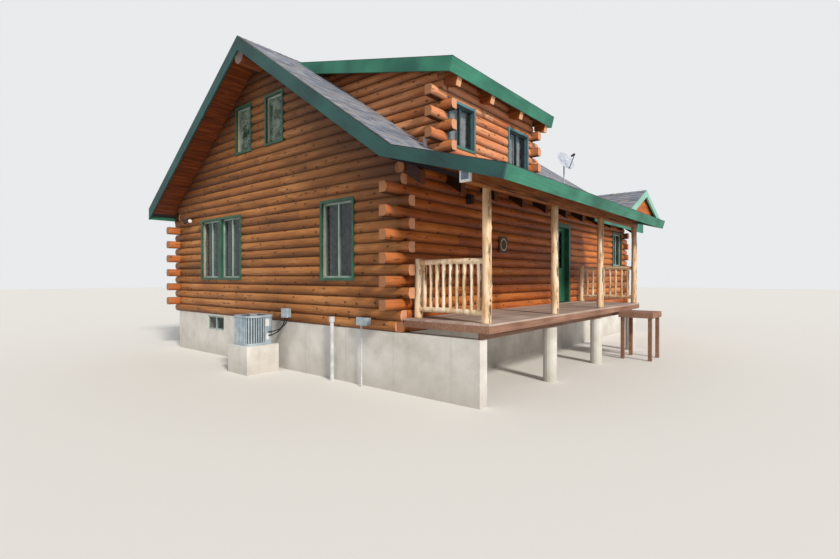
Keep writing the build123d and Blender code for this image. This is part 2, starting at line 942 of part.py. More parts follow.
# Porch fascia: the long green board in front, returned up the porch's far end
with BuildPart() as porch_fascia:
    with BuildSketch(Plane.YZ.offset(roof_near)):
        with BuildLine():
            Polyline(
                (-porch_reach, porch_top(-porch_reach)),
                fascia_foot,
                square_cut(porch_top, porch_slope, porch_front, porch_fascia_depth),
                (porch_front, porch_top(porch_front)),
                close=True,
            )
        make_face()
    extrude(amount=porch_end - roof_near)
    with BuildSketch(Plane.YZ.offset(porch_end - trim)):
        with BuildLine():
            Polyline(
                (-porch_reach, porch_top(-porch_reach)),
                (-eave_overhang, porch_top(-eave_overhang)),
                (-eave_overhang, porch_top(-eave_overhang) - porch_rake_drop),
                fascia_foot,
                close=True,
            )
        make_face()
    extrude(amount=trim)
finish(porch_fascia, "porch_fascia")

# Dormer trim: the eave board and the two sloping side boards
dormer_trim_drop = sloped(dormer_fascia_depth, dormer_slope)
dormer_fascia_foot = square_cut(
    dormer_top, dormer_slope, -dormer_reach, dormer_fascia_depth
)
with BuildPart() as dormer_trim:
    with BuildSketch(Plane.YZ.offset(dormer_roof_left)):
        with BuildLine():
            Polyline(
                (-dormer_reach, dormer_top(-dormer_reach)),
                dormer_fascia_foot,
                square_cut(dormer_top, dormer_slope, dormer_eave, dormer_fascia_depth),
                (dormer_eave, dormer_top(dormer_eave)),
                close=True,
            )
        make_face()
    extrude(amount=dormer_roof_right - dormer_roof_left)
    for x in (dormer_roof_left, dormer_roof_right - trim):
        with BuildSketch(Plane.YZ.offset(x)):
            with BuildLine():
                Polyline(
                    (-dormer_reach, dormer_top(-dormer_reach)),
                    (dormer_back, dormer_top(dormer_back)),
                    (dormer_back, dormer_top(dormer_back) - dormer_trim_drop),
                    dormer_fascia_foot,
                    close=True,
                )
            make_face()
        extrude(amount=trim)
    add(roof_ground, mode=Mode.SUBTRACT)
finish(dormer_trim, "dormer_trim")

# Porch beam: squared log with a bevelled top under the porch roof
beam_back = -post_line + beam_width / 2
beam_front = -post_line - beam_width / 2
beam_bottom = porch_under(beam_front) - beam_depth
with BuildPart() as porch_beam:
    with BuildSketch(Plane.YZ.offset(beam_end)):
        with BuildLine():
            Polyline(
                (beam_front, beam_bottom),
                (beam_back, beam_bottom),
                (beam_back, porch_under(beam_back)),
                (beam_front, porch_under(beam_front)),
                close=True,
            )
        make_face()
    extrude(amount=porch_end - trim - beam_end)
finish(porch_beam, "porch_beam")

# Porch posts: four peeled logs, each a little crooked
post_shapes = []
for n, x in enumerate(post_places):
    levels = 5
    rise = beam_bottom - deck_top
    post_shapes.append(
        peeled_log(
            [
                (
                    x + 9 * sin(2.3 * n + 1.7 * k),
                    -post_line + 8 * cos(1.9 * n + 1.3 * k),
                    deck_top + rise * k / levels,
                    post_radius * (1.04 - 0.12 * k / levels + 0.04 * sin(5 * n + 2.1 * k)),
                )
                for k in range(levels + 1)
            ]
        )
    )
with BuildPart() as porch_posts:
    add(post_shapes)
finish(porch_posts, "porch_posts")

# Deck: boards on a rim and joists, carried by a beam, piers and a ledger
with BuildPart() as deck_boards:
    with BuildSketch(Plane.XY.offset(deck_top - board_thick)):
        with Locations(((deck_end - wall_half) / 2, -(deck_reach + log_crown) / 2)):
            Rectangle(deck_end + wall_half, deck_reach - log_crown)
    extrude(amount=board_thick)
finish(deck_boards, "deck_boards")

frame_top = deck_top - board_thick
frame_bottom = frame_top - rim_depth
with BuildPart() as deck_frame:
    with BuildSketch(Plane.XY.offset(frame_bottom)):
        with Locations(((deck_end - wall_half) / 2, -(deck_reach + log_crown) / 2)):
            Rectangle(deck_end + wall_half, deck_reach - log_crown)
            Rectangle(
                deck_end + wall_half - 2 * trim,
                deck_reach - log_crown - 2 * trim,
                mode=Mode.SUBTRACT,
            )
            with GridLocations(joist_pitch, 1, int(deck_end / joist_pitch), 1):
                Rectangle(trim, deck_reach - log_crown)
    extrude(amount=rim_depth)
    with BuildSketch(Plane.XY.offset(foundation_height)):
        with Locations(((deck_end - wall_half) / 2, -post_line + wall_half / 2 + trim)):
            Rectangle(deck_end + wall_half - 4 * trim, 2 * trim)
    extrude(amount=frame_bottom - foundation_height)
finish(deck_frame, "deck_frame")

with BuildPart() as deck_piers:
    with BuildSketch():
        with Locations(*[(x, -post_line + wall_half / 2 + trim) for x in post_places[1:]]):
            RegularPolygon(pier_radius, 16)
    extrude(amount=foundation_height)
finish(deck_piers, "deck_piers")


# Porch railings: a newel by the wall, two round rails and crooked peeled balusters
def railing(newel_x, post_x, count):
    """The end railing from the newel by the wall to a corner post."""
    low = deck_top + bottom_rail_height
    high = deck_top + top_rail_height

    def place(share):
        return (
            newel_x + (post_x - newel_x) * share,
            -newel_setback - (post_line - newel_setback) * share,
        )

    newel = peeled_log(
        [
            (newel_x, -newel_setback, deck_top, newel_radius),
            (newel_x, -newel_setback, deck_top + newel_height / 2, 0.95 * newel_radius),
            (newel_x, -newel_setback, deck_top + newel_height, 0.9 * newel_radius),
        ]
    )
    rails = [
        peeled_log(
            [
                (*place(0), z, rail_radius),
                (*place(1 / 2), z + rail_bow, 0.92 * rail_radius),
                (*place(1), z, 0.96 * rail_radius),
            ],
            sides=6,
        )
        for z in (low, high)
    ]
    balusters = []
    for n in range(count):
        x, y = place((n + 1) / (count + 1))
        lean = baluster_lean * sin(2.6 * n + newel_x)
        wide = baluster_radius * (1.25 if n in (0, count - 1) else 1 + 0.18 * sin(4.1 * n))
        balusters.append(
            peeled_log(
                [
                    (x, y, low, wide),
                    (x + lean / 2, y + lean, (low + high) / 2, wide * 0.85),
                    (x, y - lean / 2, high, wide * 0.9),
                ],
                sides=6,
            )
        )
    return [newel] + rails + balusters


near_rail = railing(newel_place, post_places[0], 9)
far_rail = railing(post_places[-1], post_places[-1], 8)
with BuildPart() as railings:
    add(near_rail)
    add(far_rail)
    add(porch_posts.part, mode=Mode.SUBTRACT)
finish(railings, "porch_railings")

# Entry step: a boxed platform on four legs in front of the door
with BuildPart() as entry_step:
    step_middle = (step_left + step_width / 2, -(deck_reach + step_front) / 2)
    step_run = step_front - deck_reach
    with BuildSketch(Plane.XY.offset(step_top - trim)):
        with Locations(step_middle):
            Rectangle(step_width, step_run)
    extrude(amount=trim)
    with BuildSketch(Plane.XY.offset(step_top - step_depth)):
        with Locations(step_middle):
            Rectangle(step_width, step_run)
            Rectangle(step_width - 2 * trim, step_run - 2 * trim, mode=Mode.SUBTRACT)
    extrude(amount=step_depth - trim)
    with BuildSketch():
        with Locations(step_middle):
            with GridLocations(step_width - 4 * trim, step_run - 4 * trim, 2, 2):
                Rectangle(2 * trim, 2 * trim)
    extrude(amount=step_top - trim)
finish(entry_step, "entry_step")

# Window casings: flat green boards seated in the logs around each opening
with BuildPart() as casings:
    for w in house_windows:
        with BuildSketch(w.face.offset(wall_half)):
            with Locations((w.middle, (w.sill + w.head) / 2)):
                Rectangle(window_width(w) + 2 * casing, w.head - w.sill + 2 * casing)
                with GridLocations(w.width + mullion, 1, w.units, 1):
                    Rectangle(w.width, w.head - w.sill, mode=Mode.SUBTRACT)
        extrude(amount=log_bulge + casing_proud)
finish(casings, "window_casings")


def pane_width(w):
    return (w.width - sash_bar * (w.panes + 1)) / w.panes


# Window sashes and their glass
with BuildPart() as sashes:
    for w in house_windows + (basement_window,):
        with BuildSketch(w.face.offset(sash_out - sash_thick)):
            with Locations((w.middle, (w.sill + w.head) / 2)):
                Rectangle(window_width(w), w.head - w.sill)
                with GridLocations(w.width + mullion, 1, w.units, 1):
                    with GridLocations(pane_width(w) + sash_bar, 1, w.panes, 1):
                        Rectangle(
                            pane_width(w), w.head - w.sill - 2 * sash_bar, mode=Mode.SUBTRACT
                        )
        extrude(amount=sash_thick)
finish(sashes, "window_sashes")

with BuildPart() as glass:
    for w in house_windows + (basement_window,):
        with BuildSketch(w.face.offset(sash_out - sash_thick / 2)):
            with Locations((w.middle, (w.sill + w.head) / 2)):
                with GridLocations(w.width + mullion, 1, w.units, 1):
                    with GridLocations(pane_width(w) + sash_bar, 1, w.panes, 1):
                        Rectangle(pane_width(w), w.head - w.sill - 2 * sash_bar)
        extrude(amount=glass_thick)
finish(glass, "window_glass")

# Door frame: jambs, head, threshold and an outside casing
clear_left = door_left + jamb
clear_right = door_right - jamb
door_foot = floor_top - foundation_height
with BuildPart() as door_frame:
    with BuildSketch(front_face.offset(-log_inner)):
        with BuildLine():
            Polyline(
                (door_left, door_foot),
                (door_left, door_head - foundation_height),
                (door_right, door_head - foundation_height),
                (door_right, door_foot),
                (clear_right, door_foot),
                (clear_right, door_head - foundation_height - jamb),
                (clear_left, door_head - foundation_height - jamb),
                (clear_left, door_foot),
                close=True,
            )
        make_face()
    extrude(amount=log_inner + wall_half)
    with BuildSketch(front_face.offset(wall_half)):
        with BuildLine():
            Polyline(
                (door_left - door_casing, door_foot),
                (door_left - door_casing, door_head - foundation_height + door_casing),
                (door_right + door_casing, door_head - foundation_height + door_casing),
                (door_right + door_casing, door_foot),
                (clear_right, door_foot),
                (clear_right, door_head - foundation_height - jamb),
                (clear_left, door_head - foundation_height - jamb),
                (clear_left, door_foot),
                close=True,
            )
        make_face()
    extrude(amount=log_bulge + casing_proud)
    with BuildSketch(front_face.offset(-log_inner)):
        with Locations(((clear_left + clear_right) / 2, door_foot + threshold / 2)):
            Rectangle(clear_right - clear_left, threshold)
    extrude(amount=log_inner + wall_half)
finish(door_frame, "door_frame")

# Door leaf: flush with the wall's inner face, glazed above, hung on three hinges
leaf_right = clear_right - hinge_gap
leaf_left = clear_left + lock_gap
leaf_width = leaf_right - leaf_left
leaf_foot = floor_top + threshold + sill_gap
leaf_height = door_head - jamb - lock_gap - leaf_foot
leaf_middle = (leaf_left + leaf_right) / 2
leaf_centre = leaf_foot + leaf_height / 2 - foundation_height
light_width = 560
light_height = 1000
light_centre = leaf_centre + 420
hinge_x = clear_right - hinge_gap / 2
hinge_y = log_inner + hinge_pin + hinge_wall + fit_gap
hinge_levels = tuple(leaf_foot + leaf_height * share for share in (0.1, 0.5, 0.9))
barrel = hinge_pin + pin_clearance + hinge_wall
with BuildPart() as door_leaf:
    with BuildSketch(front_face.offset(-log_inner)):
        with Locations((leaf_middle, leaf_centre)):
            Rectangle(leaf_width, leaf_height)
        with Locations((leaf_middle, light_centre)):
            Rectangle(light_width, light_height, mode=Mode.SUBTRACT)
    extrude(amount=door_thick)
    for z in hinge_levels:
        with BuildSketch(Plane.XY.offset(z - hinge_height / 6)):
            with Locations((hinge_x, hinge_y)):
                RegularPolygon(barrel, round_sides)
            with Locations((hinge_x - hinge_leaf / 2, log_inner + hinge_wall / 2)):
                Rectangle(hinge_leaf, hinge_wall)
            with Locations((hinge_x, hinge_y)):
                RegularPolygon(
                    hinge_pin + pin_clearance, round_sides, major_radius=False, mode=Mode.SUBTRACT
                )
        extrude(amount=hinge_height / 3)
finish(door_leaf, "door_leaf")

with BuildPart() as door_glass:
    with BuildSketch(front_face.offset(-log_inner + door_thick / 2)):
        with Locations((leaf_middle, light_centre)):
            Rectangle(light_width, light_height)
    extrude(amount=glass_thick)
finish(door_glass, "door_glass")

# Door knobs: a rose, neck and knob on each face of the leaf
knob_x = leaf_left + knob_inset
knob_z = leaf_foot + knob_height


def turned_knob(face):
    """The knob itself, standing off a leaf's face, with both its edges bevelled."""
    with BuildPart() as knob:
        with BuildSketch(face.offset(knob_start)):
            RegularPolygon(knob_radius, round_sides)
        extrude(amount=knob_reach - knob_start)
        ends = knob.faces().filter_by(Axis.Y)
        chamfer(ends.edges(), length=knob_bevel)
    return knob.part


with BuildPart() as door_knob:
    for y, outward in ((log_inner, 1), (log_inner - door_thick, -1)):
        leaf_face = Plane((knob_x, y, knob_z), x_dir=(1, 0, 0), z_dir=(0, outward, 0))
        with BuildSketch(leaf_face):
            RegularPolygon(rose_radius, round_sides)
        extrude(amount=rose_thick)
        with BuildSketch(leaf_face.offset(rose_thick)):
            RegularPolygon(neck_radius, round_sides)
        extrude(amount=knob_start - rose_thick)
        add(turned_knob(leaf_face))
finish(door_knob, "door_knobs")

# Door hinges: a pin with two end knuckles and a plate on the jamb's inner face
with BuildPart() as hinges:
    for z in hinge_levels:
        with BuildSketch(Plane.XY.offset(z - hinge_height / 2)):
            with Locations((hinge_x, hinge_y)):
                RegularPolygon(hinge_pin, round_sides)
        extrude(amount=hinge_height)
        for foot in (z - hinge_height / 2, z + hinge_height / 6 + fit_gap):
            with BuildSketch(Plane.XY.offset(foot)):
                with Locations((hinge_x, hinge_y)):
                    RegularPolygon(barrel, round_sides)
                with Locations((hinge_x + hinge_leaf / 2, log_inner + hinge_wall / 2)):
                    Rectangle(hinge_leaf, hinge_wall)
            extrude(amount=hinge_height / 3 - fit_gap)
finish(hinges, "door_hinges")

# Condenser on its footing beside the near gable wall
condenser_x, condenser_y = condenser_place
with BuildPart() as condenser_pad:
    with BuildSketch():
        with Locations(condenser_place):
            Rectangle(condenser_size + 2 * footing_edge, condenser_size + 2 * footing_edge)
    extrude(amount=condenser_base)
finish(condenser_pad, "condenser_footing")



def soft_square(size, corner):
    """Points around a square whose corners are rounded in four flats each."""
    flats = 4
    points = []
    for quarter, (side_x, side_y) in enumerate(((1, 1), (-1, 1), (-1, -1), (1, -1))):
        for k in range(flats + 1):
            turn = pi / 2 * (quarter + k / flats)
            points.append(
                (
                    side_x * (size / 2 - corner) + corner * cos(turn),
                    side_y * (size / 2 - corner) + corner * sin(turn),
                )
            )
    return points


condenser_top = condenser_base + condenser_height
condenser_body = condenser_size - 2 * condenser_step
with BuildPart() as condenser:
    for z in (condenser_base, condenser_top - condenser_cap):
        with BuildSketch(Plane.XY.offset(z)):
            with Locations(condenser_place):
                Polygon(*soft_square(condenser_size, condenser_corner))
        extrude(amount=condenser_cap)
    with BuildSketch(Plane.XY.offset(condenser_base + condenser_cap)):
        with Locations(condenser_place):
            Polygon(*soft_square(condenser_body, condenser_corner - condenser_step))
    extrude(amount=condenser_height - 2 * condenser_cap)
    with BuildSketch(Plane.XY.offset(condenser_top)):
        with Locations(condenser_place):
            RegularPolygon(fan_radius, fan_sides)
    extrude(amount=-condenser_cap, mode=Mode.SUBTRACT)
finish(condenser, "condenser")

# Boxes on the near gable wall
wall_skin = -log_crown
with BuildPart() as wall_boxes:
    for y, z, wide, tall in (disconnect, meter):
        with BuildSketch(Plane((wall_skin, y, z), x_dir=(0, -1, 0), z_dir=(-1, 0, 0))):
            Rectangle(wide, tall)
        extrude(amount=box_depth)
finish(wall_boxes, "wall_boxes")

# Pipes down the near gable wall: a vent pipe with a wider head, and a conduit under the meter
vent_pipe_x = wall_skin - vent_head_radius
meter_foot = meter[1] - meter[3] / 2
with BuildPart() as wall_pipes:
    with BuildSketch():
        with Locations((vent_pipe_x, vent_pipe_y)):
            RegularPolygon(vent_pipe_radius, round_sides)
        with Locations((wall_skin - box_depth / 2, meter[0] + conduit_inset)):
            RegularPolygon(conduit_radius, round_sides)
    extrude(amount=meter_foot)
    with BuildSketch(Plane.XY.offset(meter_foot)):
        with Locations((vent_pipe_x, vent_pipe_y)):
            RegularPolygon(vent_head_radius, round_sides)
    extrude(amount=vent_pipe_top - meter_foot)
finish(wall_pipes, "wall_pipes")

# Flexible lines that loop from the disconnect box to the condenser
line_x = wall_skin - box_depth / 2
box_foot = disconnect[1] - disconnect[3] / 2
line_end = Vector(condenser_x + condenser_size / 4, condenser_y - condenser_body / 2, 0)
with BuildPart() as condenser_lines:
    for shift, share in line_plugs:
        start = Vector(line_x, disconnect[0] + shift, box_foot + line_radius)
        plug = line_end + Vector(0, 0, condenser_base + condenser_height * share)
        drop = Vector(0, 0, plug.Z - start.Z)
        run = plug - start - drop
        turns = [pi / 2 * k / line_bends for k in range(line_bends + 1)]
        with BuildLine() as route:
            Polyline(*[start + drop * sin(turn) + run * (1 - cos(turn)) for turn in turns])
        with BuildSketch(Plane(start, z_dir=route.line % 0)):
            RegularPolygon(line_radius, 6)
        sweep(path=route.line, transition=Transition.RIGHT)
    add([condenser.part, wall_boxes.part], mode=Mode.SUBTRACT)
finish(condenser_lines, "condenser_lines")

# Outside lights: twin floodlights on the gable, a square lamp and a lantern on the porch
flood_y, flood_z = flood_place
lantern_x, lantern_z = lantern_place
square_wide, square_tall, square_thick = square_light_size
with BuildPart() as outside_lights:
    with BuildSketch(Plane((wall_skin, flood_y, flood_z), x_dir=(0, -1, 0), z_dir=(-1, 0, 0))):
        RegularPolygon(flood_plate, round_sides)
    extrude(amount=flood_reach)
    for side in (-1, 1):
        lamp = Plane(
            (wall_skin - flood_reach + fit_gap, flood_y + side * lamp_spread, flood_z),
            x_dir=(0, 0, 1),
            z_dir=(-0.5, side, -0.3),
        )
        for n, radius in enumerate(lamp_radii):
            with BuildSketch(lamp.offset(lamp_length * n / 2)):
                RegularPolygon(radius, round_sides)
        loft(ruled=True)
    with BuildSketch(
        Plane((beam_end, -post_line, square_light_z), x_dir=(0, -1, 0), z_dir=(-1, 0, 0))
    ):
        Rectangle(square_wide, square_tall)
    extrude(amount=square_thick)
    with BuildSketch(Plane((lantern_x, wall_skin, lantern_z), x_dir=(1, 0, 0), z_dir=(0, -1, 0))):
        Rectangle(lantern_size[0], lantern_size[1])
    extrude(amount=lantern_size[2], taper=6)
finish(outside_lights, "outside_lights")

# Plaque on the front wall: a square board with a raised ring
plaque_x, plaque_z = plaque_place
plaque_face = Plane((plaque_x, wall_skin, plaque_z), x_dir=(1, 0, 0), z_dir=(0, -1, 0))
with BuildPart() as plaque:
    with BuildSketch(plaque_face):
        Rectangle(plaque_size, plaque_size)
    extrude(amount=plaque_thick)
    with BuildSketch(plaque_face.offset(plaque_thick)):
        RegularPolygon(plaque_ring[0], 2 * round_sides)
        RegularPolygon(plaque_ring[1], 2 * round_sides, mode=Mode.SUBTRACT)
    extrude(amount=plaque_thick / 2)
finish(plaque, "wall_plaque")

# Dish antenna on a mast on the front slope, beyond the dormer
dish_x, dish_y = dish_place
mast_foot = main_top(dish_y - mast_radius)
mast_top = main_top(dish_y) + mast_height
dish_face = Plane((dish_x, dish_y, mast_top), x_dir=(1, 0, 0), z_dir=(-0.3, -0.85, 0.45))
half_turn = pi / dish_sides
dish_rim = dish_radius * cos(half_turn)
dish_half_side = dish_radius * tan(half_turn)
# one flat of the dish: its section along the radius, kept between two planes through the axis
with BuildPart() as dish_flat:
    with BuildSketch(Plane.XZ):
        with BuildLine():
            Polyline(
                (0, dish_thick),
                (dish_hub, dish_thick),
                (dish_rim, dish_depth),
                (dish_rim - dish_thick, dish_depth),
                (dish_hub - dish_thick, 2 * dish_thick),
                (0, 2 * dish_thick),
                close=True,
            )
        make_face()
    extrude(amount=dish_half_side, both=True)
    with BuildSketch():
        with BuildLine():
            Polyline(
                (0, 0), (dish_radius, -dish_half_side), (dish_radius, dish_half_side), close=True
            )
        make_face()
    extrude(amount=2 * dish_depth, mode=Mode.INTERSECT)
with BuildPart(dish_face) as dish_bowl:
    with PolarLocations(0, dish_sides):
        add(dish_flat.part)
with BuildPart() as dish:
    with BuildSketch(Plane.XY.offset(mast_foot)):
        with Locations(dish_place):
            RegularPolygon(mast_radius, 8)
    extrude(amount=mast_top - mast_foot)
    add(roof_ground, mode=Mode.SUBTRACT)
    add(dish_bowl.part)
finish(dish, "dish_antenna")

# Vent pipe on the front slope beside the dormer
vent_foot = main_top(roof_vent_place[1] - roof_vent_radius)
with BuildPart() as roof_vent:
    with BuildSketch(Plane.XY.offset(vent_foot)):
        with Locations(roof_vent_place):
            RegularPolygon(roof_vent_radius, round_sides)
            RegularPolygon(roof_vent_bore, round_sides, mode=Mode.SUBTRACT)
    extrude(amount=main_top(roof_vent_place[1]) + roof_vent_height - vent_foot)
    add(roof_ground, mode=Mode.SUBTRACT)
finish(roof_vent, "roof_vent")
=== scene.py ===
from functools import partial
from math import atan, ceil, cos, exp, hypot, pi, radians, sin
from random import Random

import bpy
from mathutils import Matrix, Vector, noise


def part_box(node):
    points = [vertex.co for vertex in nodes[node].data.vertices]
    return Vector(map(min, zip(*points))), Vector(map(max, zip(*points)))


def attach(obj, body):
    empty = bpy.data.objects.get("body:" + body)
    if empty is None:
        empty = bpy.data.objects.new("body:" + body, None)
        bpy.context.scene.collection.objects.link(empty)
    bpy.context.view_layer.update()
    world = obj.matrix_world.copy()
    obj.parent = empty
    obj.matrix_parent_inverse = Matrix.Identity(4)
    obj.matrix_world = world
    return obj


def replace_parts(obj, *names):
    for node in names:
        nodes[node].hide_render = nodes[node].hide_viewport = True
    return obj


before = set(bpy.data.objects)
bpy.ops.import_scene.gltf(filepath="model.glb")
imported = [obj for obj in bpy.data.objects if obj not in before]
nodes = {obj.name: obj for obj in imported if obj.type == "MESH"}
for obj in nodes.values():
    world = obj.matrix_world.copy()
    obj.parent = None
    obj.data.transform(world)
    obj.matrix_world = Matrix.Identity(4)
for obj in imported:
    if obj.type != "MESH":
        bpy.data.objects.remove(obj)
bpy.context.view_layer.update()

# Camera: a wide lens at eye height, off the near front corner and level with the porch.
# The place, direction and focal length come from the eave, ridge and log lines of the picture.
camera_place = Vector((-5.961, -5.365, 1.925))
camera_yaw = radians(39.764)
camera_pitch = radians(-0.281)
focal_pixels = 475.455
picture_width = 840
camera_data = bpy.data.cameras.new("camera")
camera_data.sensor_fit = "HORIZONTAL"
camera_data.sensor_width = 36
camera_data.lens = focal_pixels / picture_width * camera_data.sensor_width
camera = bpy.data.objects.new("camera", camera_data)
bpy.context.scene.collection.objects.link(camera)
level_share = cos(camera_pitch)
looking = Vector((cos(camera_yaw) * level_share, sin(camera_yaw) * level_share, sin(camera_pitch)))
camera.location = camera_place
camera.rotation_euler = looking.to_track_quat("-Z", "Y").to_euler()
bpy.context.scene.camera = camera
bpy.context.scene.view_settings.view_transform = "Standard"


# Studio floor and light: a plain pale floor, a pale sky all round and one wide soft sun
# from the porch side, which lights the front and leaves the near gable in open shade.
def linear(code):
    """An sRGB hex colour as linear RGBA."""
    parts = [int(code[i : i + 2], 16) / 255 for i in (1, 3, 5)]
    return [p / 12.92 if p <= 0.04045 else ((p + 0.055) / 1.055) ** 2.4 for p in parts] + [1.0]


def put(tree, kind, *inputs, stops=(), **named):
    """Adds a shader node of a kind, which may have its operation after a space.

    The inputs come in the node's order or by name, with a capital and _ for a space; any other
    name is a setting. A node or socket is linked to its input, and a hex code is a colour.
    A ramp's stops are their places and their tones.
    """
    kind, _, operation = kind.partition(" ")
    added = tree.nodes.new("ShaderNode" + kind)
    if operation:
        added.operation = operation
    sockets = dict(enumerate(inputs))
    for name, value in named.items():
        if name[0].isupper():
            sockets[name.replace("_", " ")] = value
        else:
            setattr(added, name, value)
    for key, value in sockets.items():
        if isinstance(value, bpy.types.Node):
            value = value.outputs[0]
        if isinstance(value, bpy.types.NodeSocket):
            tree.links.new(value, added.inputs[key])
        else:
            added.inputs[key].default_value = linear(value) if isinstance(value, str) else value
    if stops:
        places, tones = stops
        elements = added.color_ramp.elements
        while len(elements) < len(tones):
            elements.new(0.5)
        for element, place, code in zip(elements, places, tones):
            element.position = place
            element.color = linear(code)
    return added


def finish(name, roughness, metallic=0.0, **sockets):
    """A new material, what adds nodes to it, and the socket that tells a point on the house."""
    material = bpy.data.materials.new(name)
    material.use_nodes = True
    shader = material.node_tree.nodes["Principled BSDF"]
    for key, value in {"Roughness": roughness, "Metallic": metallic, **sockets}.items():
        shader.inputs[key.replace("_", " ")].default_value = value
    add = partial(put, material.node_tree)
    return material, add, add("TexCoord").outputs["Object"]


def lay(material, colour, height=None, strength=1.0, distance=0.002):
    """Gives a material its finished colour, and its relief if it has one."""
    tree = material.node_tree
    shader = tree.nodes["Principled BSDF"]
    tree.links.new(colour.outputs[0], shader.inputs["Base Color"])
    if height:
        bump = put(tree, "Bump", Height=height, Strength=strength, Distance=distance)
        tree.links.new(bump.outputs[0], shader.inputs["Normal"])
    return material


def built(name, points, faces, material):
    """A mesh object with one material."""
    mesh = bpy.data.meshes.new(name)
    mesh.from_pydata(points, [], faces)
    mesh.materials.append(material)
    made = bpy.data.objects.new(name, mesh)
    bpy.context.scene.collection.objects.link(made)
    return made


def piece(name, shapes, material, smooth=False):
    """Joins (points, faces) shapes into one mesh that rides on the house."""
    points = []
    faces = []
    for shape_points, shape_faces in shapes:
        faces += [[i + len(points) for i in face] for face in shape_faces]
        points += shape_points
    made = built(name, points, faces, material)
    if smooth:
        made.data.shade_smooth()
    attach(made, "house")
    return made


def coat(material, *names):
    """Gives CAD nodes a material."""
    for name in names:
        for place in nodes[name].material_slots:
            place.material = material


floor_half = 90
floor_corners = [(x * floor_half, y * floor_half, 0) for x, y in ((-1, -1), (1, -1), (1, 1), (-1, 1))]
floor_paint = finish("pale_floor_paint", 0.9, Base_Color=linear("#e2e1dd"))[0]
built("studio_floor", floor_corners, [(0, 1, 2, 3)], floor_paint)

world = bpy.data.worlds.new("studio_sky")
bpy.context.scene.world = world
world.use_nodes = True
sky = world.node_tree
rays = put(sky, "LightPath")
seen = rays.outputs["Is Camera Ray"]
for kind in ("Is Glossy Ray", "Is Transmission Ray"):
    seen = put(sky, "Math MAXIMUM", seen, rays.outputs[kind])
sky_light = put(sky, "Background", "#f4f6fa", 0.55)
sky_view = put(sky, "Background", "#e9ebec", 1.0)
sky_choice = put(sky, "MixShader", seen, sky_light, sky_view)
sky.links.new(sky_choice.outputs[0], sky.nodes["World Output"].inputs["Surface"])

sun_data = bpy.data.lights.new("soft_sun", "SUN")
sun_data.energy = 3.1
sun_data.angle = radians(9)
sun_data.color = linear("#fff7ec")[:3]
sun = bpy.data.objects.new("soft_sun", sun_data)
sun_direction = Vector((0.36, 1.0, -0.7))
sun.rotation_euler = sun_direction.to_track_quat("-Z", "Y").to_euler()
bpy.context.scene.collection.objects.link(sun)

# Foundation, deck piers and condenser footing: poured concrete, struck from board forms.
# Pale grey and matt, with a cloudy surface, faint form joints and damp stains near the ground.
form_width = 1.2
joint_half_width = 0.008
splash_height = 0.45
concrete, add, place = finish("poured_concrete", 0.9)
axes = add("SeparateXYZ", place)
clouds = add("TexNoise", place, Scale=1.7, Detail=8.0, Roughness=0.62)
concrete_tones = ("#bcb8b1", "#cdcac4", "#d9d7d2", "#e2e0dc")
colour = add("ValToRGB", clouds, stops=((0.3, 0.46, 0.6, 0.75), concrete_tones))
along_wall = add("Math ADD", axes.outputs[0], axes.outputs[1])
joint = add("Math PINGPONG", along_wall, form_width / 2)
joint = add("Math LESS_THAN", joint, joint_half_width)
joint = add("Math MULTIPLY", joint, 0.18)
splash = add("MapRange", axes.outputs[2], 0.0, splash_height, 0.55, 0.0)
splash = add("Math MULTIPLY", splash, clouds)
for share, tone in ((joint, "#77736c"), (splash, "#8b8171")):
    colour = add("MixRGB", share, colour, tone)
grit = add("TexNoise", place, Scale=90.0, Detail=3.0)
lay(concrete, colour, grit, 0.35, 0.004)
coat(concrete, "foundation", "condenser_footing", "deck_piers")

# Log walls: pine logs milled flat inside and round outside, stacked and stained orange-brown.
# Each log has its own tone, long grain, dark knots, small checks and a dark line in the groove.
ground_to_logs = 1.0
log_height = 0.19
log_flats = 4
log_round = 0.1328
log_length = 4.3
flat_rise = (log_height / log_flats) ** 2 / (8 * log_round)
end_reach = 0.35
knots_per_metre = 3.1
house_width = 8.07
house_length = 11.6
main_slope = 0.697
ridge_top = 7.017
ridge_y = 4.035


def drawn(add, place, along, scales, **look):
    """Noise with its own scales along, across and up a timber that runs along X (0) or Y (1)."""
    long, side, high = scales
    stretched = add("VectorMath MULTIPLY", place, (side, long, high) if along else scales)
    return add("TexNoise", stretched, Scale=1.0, **look)


def weighed(add, *parts):
    """The sum of nodes, each times its weight."""
    total = 0.0
    for part, weight in parts:
        total = add("Math MULTIPLY_ADD", part, weight, total)
    return total


